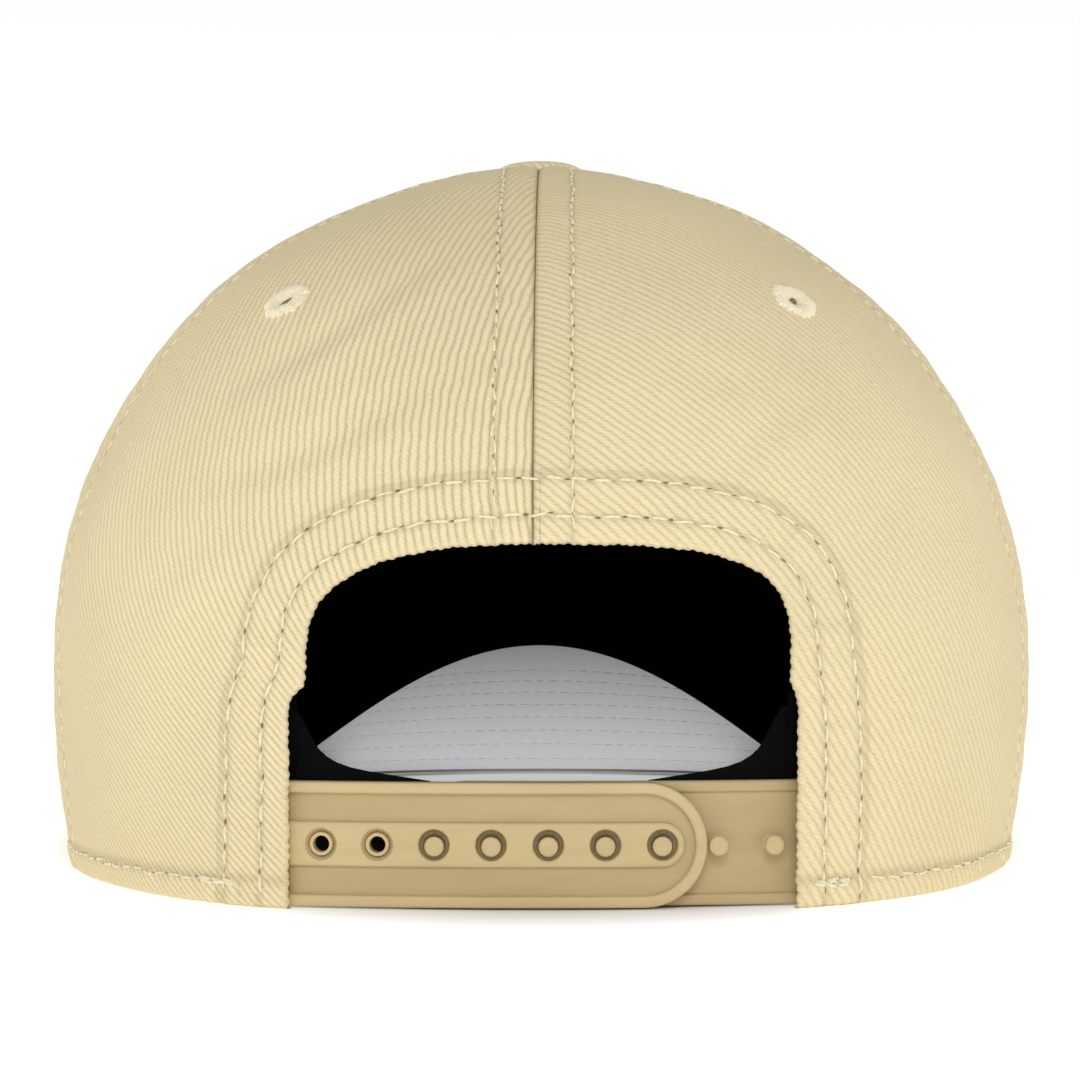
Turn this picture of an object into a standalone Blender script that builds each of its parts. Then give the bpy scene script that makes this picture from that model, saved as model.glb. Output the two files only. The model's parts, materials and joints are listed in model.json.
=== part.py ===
"""Six-panel twill baseball cap with a curved visor and a snap strap at the rear.

Metres, +Z up. The origin is the centre of the head opening, on the plane of the hem.
The visor points along +Y, so the snap strap faces -Y. Left and right are as seen from behind:
left is -X and right is +X.
"""

import math

import bmesh
import bpy
from mathutils import Matrix, Vector

MM = 0.001

# Crown: outer surface
HALF_WIDTH = 92.3 * MM          # at the widest height
REAR_LENGTH = 101.0 * MM        # from the origin to the rear wall, before the strap flattens it
FRONT_LENGTH = 104.0 * MM
WIDEST_HEIGHT = 38.0 * MM
DOME_RISE = 93.2 * MM           # from the widest height to the apex
SIDE_TAPER = 0.045              # share by which the sides draw in at the hem
PLAN_POWER = 2.35               # superellipse power of the plan: 2 is an ellipse
FRONT_FULLNESS = 0.3            # extra power of the dome's profile at the front
WALL_SHARE = 0.21               # share of the level scale that the wall below the widest height takes

# Layers, as depths below the crown's outer surface
PANEL_THICK = 1.2 * MM
BUCKRAM_DEPTH = 1.8 * MM
BUCKRAM_THICK = 0.6 * MM
BUCKRAM_FOOT = 0.02             # share of the level scale between the front hem and its foot
BUCKRAM_TOP = 0.93              # level at its top
BUCKRAM_MARGIN = math.radians(1.5)      # from each seam
TAPE_DEPTH = 1.9 * MM
FRONT_TAPE_DEPTH = 3.3 * MM
TAPE_THICK = 0.5 * MM
TAPE_WIDTH = 15.0 * MM
TAPE_TOP = 0.985                # share of the dome's rise at which the tapes end
TAPE_TOP_HALF = math.radians(27)        # half the sector that a tape may take near the button
TAPE_FOOT_GAP = 2.5 * MM        # from the top of the sweatband to the foot of a tape
FACING_THICK = 0.6 * MM
BAND_CORE_DEPTH = 4.3 * MM
BAND_CORE_THICK = 1.0 * MM
BAND_DEPTH = 5.7 * MM
BAND_THICK = 0.8 * MM
BAND_HEIGHT = 34.0 * MM
BAND_CORE_HEIGHT = 26.0 * MM
BAND_END_GAP = 1.2 * MM         # from the strap slots to the ends of the sweatband
SEAM_GAP = 0.3 * MM
HEM_GAP = 0.8 * MM              # what is sewn inside stays this far above the hem
HEM_OVERRUN = 0.01              # share of the level scale that the panels run past the hem's cut
CUTTER_WIDTH = 400 * MM
CUTTER_DEPTH = 50 * MM

# Seams, as azimuths from +X towards +Y
REAR_SEAM = math.radians(-90)
REAR_SIDE_SEAM = math.radians(-23)
FRONT_SIDE_SEAM = math.radians(34)
FRONT_SEAM = math.radians(90)
APEX_HOLE = 4.2 * MM            # radius of the gap that the button closes

# Rear opening: half widths left and right, because the sewn arch is not quite even
STRAP_SLOT_LEFT = 40.8 * MM
STRAP_SLOT_RIGHT = 41.8 * MM
ARCH_LEFT = 37.8 * MM
ARCH_RIGHT = 40.6 * MM
ARCH_LEFT_POWER = 2.6
ARCH_RIGHT_POWER = 3.4
STEP_HEIGHT = 35.0 * MM         # the opening narrows a little above the strap ends
STEP_HALF = 1.5 * MM            # half the height over which it narrows
SPRING_HEIGHT = 41.0 * MM       # the arch starts to curve in here
ARCH_RISE = 17.9 * MM
FACING_WIDTH = 11.5 * MM
FACING_START = 1.0 * MM         # from the edge of the opening to the facing
ARCH_CUT = (-130 * MM, -50 * MM)        # y range of the cut through the rear wall

# Vent eyelets
EYELET_HEIGHT = 101.0 * MM
EYELET_RADIUS = 4.3 * MM
EYELET_HOLE = 0.9 * MM
EYELET_THICK = 2.0 * MM
EYELET_CUT = 10 * MM            # length of the cut through the panel
EYELET_AZIMUTHS = {"rear": -53.5, "side": 5.5, "front": 62.0}

# Button
BUTTON_RADIUS = 8.0 * MM
BUTTON_HEIGHT = 2.0 * MM
BUTTON_EDGE = 0.5 * MM
BUTTON_SEAT = 0.1 * MM          # from the apex to its underside
BUTTON_STEM = 2.4 * MM
BUTTON_BACK_RADIUS = 6.5 * MM
BUTTON_BACK_DEPTH = 4.4 * MM
BUTTON_BACK_THICK = 0.8 * MM

# Visor
VISOR_PEAK = 35.0 * MM          # height of its underside where it meets the middle of the front
VISOR_SEAM_POWER = 1.8
VISOR_MID = 2.4 * MM            # its middle layer lies this far above its underside
VISOR_TIP = 160.0 * MM
VISOR_HALF_WIDTH = 87.0 * MM
VISOR_CENTRE = 62.0 * MM
VISOR_PLAN_POWER = 2.3
VISOR_CORNER_TUCK = 0.075       # share by which the outline draws in at the corners
VISOR_TUCK_TURN = math.radians(14)      # turn over which that fades
VISOR_INSET = 1.4 * MM          # its inner edge lies this deep under the crown's surface
VISOR_CORNER_GAP = math.radians(2.0)    # the visor stops this far short of the side panels
VISOR_EDGE_HEIGHT = 2.5 * MM
VISOR_CROWN = 3.0 * MM          # how far it bows up between the crown and its edge
BOARD_THICK = 1.8 * MM
COVER_THICK = 0.6 * MM
COVER_GAP = 0.35 * MM
FRONT_HEM_RISE = 6.2 * MM       # the front panels end this far above the visor's underside

# Snap strap
STRAP_BEND = 250.0 * MM         # plan radius
STRAP_CENTRE_Y = -95.6 * MM     # outer face of the female strap at x = 0
STRAP_HEIGHT = 20.2 * MM
STRAP_BOTTOM = 0.3 * MM
STRAP_EDGE = 0.4 * MM           # from the fabric's edge to the hinge line of either strap
STRAP_STUB = 0.3 * MM           # from there to the end of its solid
STRAP_BEND_STEPS = 14
FEMALE_THICK = 2.2 * MM
FEMALE_WEB = 1.2 * MM
FEMALE_END = 17.0 * MM          # centre of its round end
RIM_WIDTH = 1.9 * MM
BAND_HALF_HEIGHT = 3.65 * MM    # of the raised band that the holes are in
BAND_FLUSH = 0.2 * MM           # from the strap's outer face to the band's
HOLE_PITCH = 9.23 * MM
LAST_HOLE = 19.8 * MM
HOLE_COUNT = 7
FREE_HOLE_RADIUS = 1.25 * MM
ENGAGED_HOLE_RADIUS = 2.15 * MM
ENGAGED_HOLES = 5
STRAP_GAP = 0.3 * MM
MALE_THICK = 1.6 * MM
MALE_WEB = 1.0 * MM
MALE_END = -12.0 * MM           # centre of its round end, hidden behind the female strap
PEG_RADIUS = 1.6 * MM
PEG_TIP_DEPTH = 0.4 * MM        # peg tips stop this far under the female strap's outer face
PEG_ROOT = 0.3 * MM             # how far a peg's root is sunk from the web's back
FREE_PEGS = 2
STRAP_CUT = 20 * MM             # length of a snap hole's cut
TAB_GAP = 0.6 * MM              # from the fabric's edge to the sewn end
TAB_LENGTH = 15.0 * MM
TAB_THICK = 1.2 * MM

COLOURS = {
    "twill": ((0.72, 0.62, 0.39, 1), 0.9),
    "lining": ((0.02, 0.02, 0.022, 1), 0.95),
    "undervisor": ((0.42, 0.42, 0.43, 1), 0.9),
    "board": ((0.8, 0.8, 0.78, 1), 0.5),
    "thread": ((0.9, 0.87, 0.74, 1), 0.7),
    "strap": ((0.55, 0.44, 0.24, 1), 0.45),
}


def clear_scene():
    for obj in list(bpy.data.objects):
        bpy.data.objects.remove(obj, do_unlink=True)


def collection(name):
    made = bpy.data.collections.new(name)
    bpy.context.scene.collection.children.link(made)
    return made


def material(name):
    if name in bpy.data.materials:
        return bpy.data.materials[name]
    colour, roughness = COLOURS[name]
    made = bpy.data.materials.new(name)
    made.use_nodes = True
    shader = made.node_tree.nodes["Principled BSDF"]
    shader.inputs["Base Color"].default_value = colour
    shader.inputs["Roughness"].default_value = roughness
    shader.inputs["Metallic"].default_value = 0.0
    return made


# --- The crown's surface -------------------------------------------------------------------------


def section(level):
    """Height, turn of the dome and side taper at a level from 0, the hem, to 1, the apex."""
    if level < WALL_SHARE:
        below = 1 - level / WALL_SHARE
        return WIDEST_HEIGHT * (1 - below), 0.0, SIDE_TAPER * below**2
    turn = 0.5 * math.pi * (level - WALL_SHARE) / (1 - WALL_SHARE)
    return WIDEST_HEIGHT + DOME_RISE * math.sin(turn), turn, 0.0


def level_at(height):
    if height < WIDEST_HEIGHT:
        return WALL_SHARE * height / WIDEST_HEIGHT
    turn = math.asin(min(1.0, (height - WIDEST_HEIGHT) / DOME_RISE))
    return WALL_SHARE + (1 - WALL_SHARE) * turn / (0.5 * math.pi)


def outer_point(azimuth, level):
    height, turn, taper = section(level)
    ahead = max(0.0, math.sin(azimuth))
    power = 2 + FRONT_FULLNESS * ahead**2
    share = (1 - math.sin(turn) ** power) ** (1 / power)
    plan = 2 + (PLAN_POWER - 2) * share**2
    half_width = HALF_WIDTH * (1 - taper)
    length = FRONT_LENGTH if ahead > 0 else REAR_LENGTH
    across = (abs(math.cos(azimuth)) / half_width) ** plan
    along = (abs(math.sin(azimuth)) / length) ** plan
    reach = share * (across + along) ** (-1 / plan)
    return Vector((reach * math.cos(azimuth), reach * math.sin(azimuth), height))


def crown_point(azimuth, level, depth=0.0):
    """A point under the outer surface, the given depth in from it."""
    here = outer_point(azimuth, level)
    if depth == 0.0:
        return here
    step = 1e-3
    around = outer_point(azimuth + step, level) - outer_point(azimuth - step, level)
    upward = outer_point(azimuth, level + step) - outer_point(azimuth, level - step)
    return here - around.cross(upward).normalized() * depth


def rear_point(x, height, depth=0.0):
    """The point of the rear wall at the given x and height, found by halving its azimuth."""
    level = level_at(height)
    low, high = math.radians(-180), 0.0
    for _ in range(40):
        middle = 0.5 * (low + high)
        if outer_point(middle, level).x < x:
            low = middle
        else:
            high = middle
    return crown_point(middle, level, depth)


def seam_azimuth(seam, level, side):
    """The azimuth half a seam gap away from a seam, on the side +1 or -1 of it."""
    reach = outer_point(seam, level)
    return seam + side * 0.5 * SEAM_GAP / math.hypot(reach.x, reach.y)


def mirrored(azimuth):
    return math.pi - azimuth


# --- Mesh helpers --------------------------------------------------------------------------------


def link(name, mesh, slot, home):
    obj = bpy.data.objects.new(name, mesh)
    home.objects.link(obj)
    if slot:
        mesh.materials.append(material(slot))
    return obj


def grid_mesh(name, columns, rows, place):
    """An open sheet of quads through place(u, v), with u and v from 0 to 1."""
    sheet = bmesh.new()
    points = [
        [sheet.verts.new(place(i / columns, j / rows)) for j in range(rows + 1)]
        for i in range(columns + 1)
    ]
    for i in range(columns):
        for j in range(rows):
            sheet.faces.new(
                (points[i][j], points[i + 1][j], points[i + 1][j + 1], points[i][j + 1])
            )
    mesh = bpy.data.meshes.new(name)
    sheet.to_mesh(mesh)
    sheet.free()
    mesh.shade_smooth()
    return mesh


def thicken(obj, thickness, offset=-1.0):
    shell = obj.modifiers.new("Thickness", "SOLIDIFY")
    shell.thickness = thickness
    shell.offset = offset
    shell.use_even_offset = True
    return obj


def layer(name, columns, rows, place, thickness, slot, home, offset=-1.0):
    return thicken(link(name, grid_mesh(name, columns, rows, place), slot, home), thickness, offset)


def boolean(obj, other, operation="DIFFERENCE"):
    cut = obj.modifiers.new(other.name, "BOOLEAN")
    cut.operation = operation
    cut.object = other
    return cut


def as_cutter(obj):
    obj.hide_render = True
    obj.display_type = "WIRE"
    return obj


def evaluated_mesh(obj, name):
    """The object's mesh with its modifiers applied, in world space."""
    bpy.context.view_layer.update()
    graph = bpy.context.evaluated_depsgraph_get()
    mesh = bpy.data.meshes.new_from_object(obj.evaluated_get(graph))
    mesh.transform(obj.matrix_world)
    mesh.name = name
    return mesh


def prism(name, outline, low, high, home):
    """A closed prism with an outline in X and Z, from y = low to y = high."""
    solid = bmesh.new()
    face = solid.faces.new([solid.verts.new((x, low, z)) for x, z in outline])
    pushed = bmesh.ops.extrude_face_region(solid, geom=[face])["geom"]
    moved = [v for v in pushed if isinstance(v, bmesh.types.BMVert)]
    bmesh.ops.translate(solid, verts=moved, vec=(0, high - low, 0))
    bmesh.ops.recalc_face_normals(solid, faces=solid.faces)
    mesh = bpy.data.meshes.new(name)
    solid.to_mesh(mesh)
    solid.free()
    return link(name, mesh, None, home)


def cylinder(name, radius, length, place, home, sides=24):
    """A closed cylinder along its own Z, centred on the place matrix."""
    solid = bmesh.new()
    bmesh.ops.create_cone(
        solid, cap_ends=True, segments=sides, radius1=radius, radius2=radius, depth=length
    )
    mesh = bpy.data.meshes.new(name)
    solid.to_mesh(mesh)
    solid.free()
    obj = link(name, mesh, None, home)
    obj.matrix_world = place
    return obj


# --- Rear opening --------------------------------------------------------------------------------


def arch_side(x_sign, steps=8):
    """Outline of one half of the opening from the hem up to the middle of the arch."""
    slot, wide, power = (
        (STRAP_SLOT_LEFT, ARCH_LEFT, ARCH_LEFT_POWER)
        if x_sign < 0
        else (STRAP_SLOT_RIGHT, ARCH_RIGHT, ARCH_RIGHT_POWER)
    )
    points = [
        (slot, 0.0),
        (slot, 0.5 * STEP_HEIGHT),
        (slot, STEP_HEIGHT - STEP_HALF),
        (wide, STEP_HEIGHT + STEP_HALF),
    ]
    for k in range(steps + 1):
        turn = 0.5 * math.pi * k / steps
        points.append(
            (
                wide * math.cos(turn) ** (2 / power),
                SPRING_HEIGHT + ARCH_RISE * math.sin(turn) ** (2 / power),
            )
        )
    points[-1] = (0.0, SPRING_HEIGHT + ARCH_RISE)
    return [(x_sign * x, z) for x, z in points]


def arch_cutter(home):
    left, right = arch_side(-1), arch_side(1)
    below = [(left[0][0], -CUTTER_DEPTH)], [(right[0][0], -CUTTER_DEPTH)]
    outline = [*below[0], *left, *reversed(right[:-1]), *below[1]]
    return as_cutter(prism("arch_cutter", outline, *ARCH_CUT, home))


def arch_facing(home):
    """The folded facing inside the arch, a band that follows its outline from hem to hem."""
    left, right = arch_side(-1)[:-1], arch_side(1)
    middle = [(0.0, SPRING_HEIGHT + ARCH_RISE)]
    outline = [p for p in left if p[1] > STRAP_HEIGHT] + middle
    outline += [p for p in reversed(right[:-1]) if p[1] > STRAP_HEIGHT]

    def outward(index):
        before = outline[max(index - 1, 0)]
        after = outline[min(index + 1, len(outline) - 1)]
        run = Vector((after[0] - before[0], after[1] - before[1])).normalized()
        return Vector((-run.y, run.x))

    def place(u, v):
        index = round(u * (len(outline) - 1))
        offset = outward(index) * (FACING_START + v * (FACING_WIDTH - FACING_START))
        x, z = outline[index][0] + offset.x, outline[index][1] + offset.y
        return rear_point(x, z, TAPE_DEPTH)

    return layer("arch_facing", len(outline) - 1, 2, place, FACING_THICK, "twill", home)


# --- Crown ---------------------------------------------------------------------------------------


def visor_seam_height(azimuth):
    """Height of the visor's underside where it meets the crown."""
    across = (FRONT_SEAM - azimuth) / (FRONT_SEAM - FRONT_SIDE_SEAM)
    return VISOR_PEAK * max(0.0, 1 - across**2) ** VISOR_SEAM_POWER


def top_level(azimuth):
    """The level at which a panel stops, round the hole under the button."""
    low, high = 0.9, 1.0
    for _ in range(40):
        middle = 0.5 * (low + high)
        here = outer_point(azimuth, middle)
        if math.hypot(here.x, here.y) > APEX_HOLE:
            low = middle
        else:
            high = middle
    return low


def panel(name, start, end, bottom, columns, home, depth=0.0, thickness=PANEL_THICK,
          slot="twill", rows=12, margin=0.0, top=None):
    """A crown panel between two seams, from the level bottom(azimuth) up to the button."""

    def place(u, v):
        azimuth = start + (end - start) * u
        low = bottom(azimuth)
        high = top if top is not None else top_level(azimuth)
        level = low + (high - low) * v
        first = seam_azimuth(start, level, 1) + margin
        last = seam_azimuth(end, level, -1) - margin
        return crown_point(first + (last - first) * u, level, depth)

    return layer(name, columns, rows, place, thickness, slot, home)


def below_hem(_azimuth):
    return -HEM_OVERRUN


def front_hem(azimuth):
    return level_at(visor_seam_height(azimuth) + FRONT_HEM_RISE)


def hem_cutter(home):
    solid = bmesh.new()
    bmesh.ops.create_cube(solid, size=1.0)
    size = (CUTTER_WIDTH, CUTTER_WIDTH, CUTTER_DEPTH)
    bmesh.ops.scale(solid, vec=size, verts=solid.verts)
    bmesh.ops.translate(solid, vec=(0, 0, -0.5 * CUTTER_DEPTH), verts=solid.verts)
    mesh = bpy.data.meshes.new("hem_cutter")
    solid.to_mesh(mesh)
    solid.free()
    return as_cutter(link("hem_cutter", mesh, None, home))


def eyelet_place(azimuth):
    """A matrix at an eyelet, with its Z along the crown's normal."""
    level = level_at(EYELET_HEIGHT)
    middle = crown_point(azimuth, level, 0.5 * PANEL_THICK)
    normal = (crown_point(azimuth, level) - middle).normalized()
    return Matrix.Translation(middle) @ normal.to_track_quat("Z", "Y").to_matrix().to_4x4()


def eyelet(name, azimuth, home):
    """A turned ring with a rounded rim and a narrow hole."""
    profile = bmesh.new()
    half, reach = 0.5 * EYELET_THICK, 0.5 * (EYELET_RADIUS - EYELET_HOLE)
    middle, sides = EYELET_HOLE + reach, 6
    turns = [-2 * math.pi * k / sides for k in range(sides)]
    ring = [
        profile.verts.new((middle + reach * math.cos(a), 0, half * math.sin(a))) for a in turns
    ]
    for k in range(sides):
        profile.edges.new((ring[k], ring[(k + 1) % sides]))
    mesh = bpy.data.meshes.new(name)
    profile.to_mesh(mesh)
    profile.free()
    obj = link(name, mesh, "thread", home)
    turned(obj, 16)
    obj.matrix_world = eyelet_place(azimuth)
    return obj


def turned(obj, steps):
    screw = obj.modifiers.new("Turn", "SCREW")
    screw.axis = "Z"
    screw.steps = screw.render_steps = steps
    screw.use_merge_vertices = True
    screw.merge_threshold = 1e-5
    screw.use_smooth_shade = True
    return obj


def crown_panels(home, cutters):
    hem, arch = hem_cutter(cutters), arch_cutter(cutters)
    seams = {
        "rear": (REAR_SEAM, REAR_SIDE_SEAM, below_hem, 12),
        "side": (REAR_SIDE_SEAM, FRONT_SIDE_SEAM, below_hem, 9),
        "front": (FRONT_SIDE_SEAM, FRONT_SEAM, front_hem, 9),
    }
    for part, (start, end, bottom, columns) in seams.items():
        for side in ("right", "left"):
            ends = (start, end) if side == "right" else (mirrored(end), mirrored(start))
            if ends[0] > math.pi:
                ends = (ends[0] - 2 * math.pi, ends[1] - 2 * math.pi)
            cover = panel(f"{part}_panel_{side}", *ends, bottom, columns, home)
            if part != "front":
                boolean(cover, hem)
            if part == "rear":
                boolean(cover, arch)
            azimuth = math.radians(EYELET_AZIMUTHS[part])
            azimuth = azimuth if side == "right" else mirrored(azimuth)
            hole = cylinder(
                f"eyelet_cutter_{part}_{side}", EYELET_RADIUS + SEAM_GAP, EYELET_CUT,
                eyelet_place(azimuth), cutters, 20,
            )
            boolean(cover, as_cutter(hole))
            eyelet(f"eyelet_{part}_{side}", azimuth, home)
            if part == "front":
                stiffener = panel(
                    f"front_buckram_{side}", *ends, lambda a: front_hem(a) + BUCKRAM_FOOT, 8,
                    home, BUCKRAM_DEPTH, BUCKRAM_THICK, "lining", 8, BUCKRAM_MARGIN, BUCKRAM_TOP,
                )
                boolean(stiffener, hole)


def seam_tape(name, seam, bottom, depth, home):
    """A tape inside one seam, from near the hem to near the button."""
    top = level_at(WIDEST_HEIGHT + DOME_RISE * TAPE_TOP)

    def place(u, v):
        level = bottom + (top - bottom) * v
        reach = outer_point(seam, level)
        half = 0.5 * TAPE_WIDTH / math.hypot(reach.x, reach.y)
        narrow = min(half, TAPE_TOP_HALF)
        return crown_point(seam + narrow * (2 * u - 1), level, depth)

    return layer(name, 2, 14, place, TAPE_THICK, "lining", home)


def seam_tapes(home):
    above_arch = level_at(SPRING_HEIGHT + ARCH_RISE + FACING_WIDTH + FACING_START)
    above_band = level_at(BAND_HEIGHT + TAPE_FOOT_GAP)
    above_visor = level_at(VISOR_PEAK + BAND_HEIGHT + TAPE_FOOT_GAP)
    seam_tape("seam_tape_rear", REAR_SEAM, above_arch, TAPE_DEPTH, home)
    seam_tape("seam_tape_front", FRONT_SEAM, above_visor, FRONT_TAPE_DEPTH, home)
    for side, turn in (("right", lambda a: a), ("left", mirrored)):
        seam_tape(f"seam_tape_rear_{side}", turn(REAR_SIDE_SEAM), above_band, TAPE_DEPTH, home)
        seam_tape(
            f"seam_tape_front_{side}", turn(FRONT_SIDE_SEAM), above_band, FRONT_TAPE_DEPTH, home
        )


def button(home):
    """The button's shell with its stem, and the washer that it is pressed into."""
    apex = WIDEST_HEIGHT + DOME_RISE
    seat = apex + BUTTON_SEAT
    foot = apex - BUTTON_BACK_DEPTH - BUTTON_BACK_THICK
    profile, arcs = [(0.0, seat + BUTTON_HEIGHT)], 6
    for k in range(1, arcs + 1):
        turn = 0.5 * math.pi * k / arcs
        rise = BUTTON_EDGE + (BUTTON_HEIGHT - BUTTON_EDGE) * math.cos(turn)
        profile.append((BUTTON_RADIUS * math.sin(turn), seat + rise))
    profile += [(BUTTON_RADIUS, seat), (BUTTON_STEM, seat), (BUTTON_STEM, foot), (0.0, foot)]
    shell = link("top_button", open_profile("top_button", profile), "twill", home)
    turned(shell, 24)

    high, low = foot + BUTTON_BACK_THICK, foot
    bore = BUTTON_STEM + SEAM_GAP
    ring = [(bore, high), (BUTTON_BACK_RADIUS, high), (BUTTON_BACK_RADIUS, low), (bore, low)]
    washer = link("button_back", open_profile("button_back", ring, True), "lining", home)
    turned(washer, 24)


def open_profile(name, points, closed=False):
    outline = bmesh.new()
    made = [outline.verts.new((x, 0, z)) for x, z in points]
    count = len(made) if closed else len(made) - 1
    for k in range(count):
        outline.edges.new((made[k], made[(k + 1) % len(made)]))
    mesh = bpy.data.meshes.new(name)
    outline.to_mesh(mesh)
    outline.free()
    return mesh


def sweatband(home):
    """The band and the padding behind it, from one side of the rear opening round to the other."""
    right = rear_point(STRAP_SLOT_RIGHT + BAND_END_GAP, 0.5 * STRAP_HEIGHT, BAND_DEPTH)
    left = rear_point(-STRAP_SLOT_LEFT - BAND_END_GAP, 0.5 * STRAP_HEIGHT, BAND_DEPTH)
    start = math.atan2(right.y, right.x)
    end = math.atan2(left.y, left.x) + 2 * math.pi

    def bottom(azimuth):
        wrapped = azimuth if azimuth < math.pi else azimuth - 2 * math.pi
        if FRONT_SIDE_SEAM < wrapped < mirrored(FRONT_SIDE_SEAM):
            return max(HEM_GAP, visor_seam_height(wrapped))
        return HEM_GAP

    def band(depth, rise, height):
        def place(u, v):
            azimuth = start + (end - start) * u
            low = bottom(azimuth) + rise
            return crown_point(azimuth, level_at(low + height * v), depth)

        return place

    layer("sweatband", 42, 3, band(BAND_DEPTH, 0.0, BAND_HEIGHT), BAND_THICK, "lining", home)
    rise = 0.5 * (BAND_HEIGHT - BAND_CORE_HEIGHT)
    layer(
        "sweatband_core", 42, 3, band(BAND_CORE_DEPTH, rise, BAND_CORE_HEIGHT),
        BAND_CORE_THICK, "lining", home,
    )


# --- Visor ---------------------------------------------------------------------------------------


def visor_edge(across):
    """The plan of the visor's outer edge, with across from -1, right corner, to 1, left corner."""
    corner = crown_point(FRONT_SIDE_SEAM + VISOR_CORNER_GAP, level_at(VISOR_MID), VISOR_INSET)
    lowest = math.atan2(corner.y - VISOR_CENTRE, corner.x)
    turn = lowest + (0.5 * math.pi - lowest) * (1 - abs(across))
    length = VISOR_TIP - VISOR_CENTRE
    tuck = 1 - VISOR_CORNER_TUCK * math.exp(-(turn - lowest) / VISOR_TUCK_TURN)
    wide = (abs(math.cos(turn)) / VISOR_HALF_WIDTH) ** VISOR_PLAN_POWER
    deep = (abs(math.sin(turn)) / length) ** VISOR_PLAN_POWER
    reach = tuck * (wide + deep) ** (-1 / VISOR_PLAN_POWER)
    side = 1 if across < 0 else -1
    return side * reach * math.cos(turn), VISOR_CENTRE + reach * math.sin(turn)


def visor_point(u, v):
    """The visor's middle layer: u runs from the right corner to the left, v out to the edge."""
    across = 2 * u - 1
    half_span = FRONT_SEAM - FRONT_SIDE_SEAM - VISOR_CORNER_GAP
    azimuth = FRONT_SEAM + half_span * across
    height = visor_seam_height(azimuth) + VISOR_MID
    root = crown_point(azimuth, level_at(height), VISOR_INSET)
    x, y = visor_edge(across)
    tip = Vector((x, y, VISOR_EDGE_HEIGHT))
    bow = 4 * v * (1 - v) * VISOR_CROWN * (1 - across**2)
    return root.lerp(tip, v) + Vector((0, 0, bow))


def visor(home):
    columns, rows = 24, 5
    half = 0.5 * BOARD_THICK
    board = grid_mesh("visor_board", columns, rows, visor_point)
    thicken(link("visor_board", board, "board", home), BOARD_THICK, 0.0)
    for name, slot, side in (
        ("visor_top_cover", "twill", 1), ("visor_under_cover", "undervisor", -1)
    ):
        mesh = grid_mesh(name, columns, rows, visor_point)
        normals = [vert.normal.copy() for vert in mesh.vertices]
        upward = 1 if sum(n.z for n in normals) > 0 else -1
        for vert, normal in zip(mesh.vertices, normals):
            vert.co += normal * upward * side * (half + COVER_GAP)
        thicken(link(name, mesh, slot, home), COVER_THICK, side * upward)


# --- Snap strap ----------------------------------------------------------------------------------


def strap_y(x, depth):
    """Plan of the bent strap: y of a layer the given depth in from its outer face."""
    radius = STRAP_BEND - depth
    return STRAP_CENTRE_Y + STRAP_BEND - math.sqrt(radius**2 - x**2)


def pill(low, high, half, middle, steps=10, round_high=True):
    """An outline in X and Z with one round end, at high, or at low if round_high is false."""
    centre = high if round_high else low
    way = 1 if round_high else -1
    flat = low if round_high else high
    points = [(flat, middle - half)]
    for k in range(steps + 1):
        turn = math.pi * (k / steps - 0.5)
        points.append((centre + way * half * math.cos(turn), middle + half * math.sin(turn)))
    points.append((flat, middle + half))
    return points


def bend(mesh):
    """Cuts a flat strap across at short steps and rolls it onto the strap's plan radius."""
    shape = bmesh.new()
    shape.from_mesh(mesh)
    low = min(v.co.x for v in shape.verts)
    high = max(v.co.x for v in shape.verts)
    for k in range(1, STRAP_BEND_STEPS):
        cut = low + (high - low) * k / STRAP_BEND_STEPS
        everything = list(shape.verts) + list(shape.edges) + list(shape.faces)
        bmesh.ops.bisect_plane(
            shape, geom=everything, plane_co=(cut, 0, 0), plane_no=(1, 0, 0), dist=1e-6
        )
    for vert in shape.verts:
        depth = vert.co.y
        turn = vert.co.x / STRAP_BEND
        radius = STRAP_BEND - depth
        vert.co.x = radius * math.sin(turn)
        vert.co.y = STRAP_CENTRE_Y + STRAP_BEND - radius * math.cos(turn)
    bmesh.ops.triangulate(shape, faces=shape.faces)
    shape.to_mesh(mesh)
    shape.free()
    return mesh


def finish_strap(name, base, steps, home):
    """Applies the flat strap's cuts and unions, bends it and removes the working objects."""
    for other, operation in steps:
        boolean(base, other, operation)
    mesh = bend(evaluated_mesh(base, name))
    for obj in [base] + [other for other, _ in steps]:
        bpy.data.objects.remove(obj, do_unlink=True)
    mesh.shade_smooth()
    mesh.set_sharp_from_angle(angle=math.radians(35))
    return link(name, mesh, "strap", home)


def lying(x, depth):
    """A matrix at a snap on the flat strap, with Z along the strap's depth."""
    middle = STRAP_BOTTOM + 0.5 * STRAP_HEIGHT
    return Matrix.Translation((x, depth, middle)) @ Matrix.Rotation(math.pi / 2, 4, "X")


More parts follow.
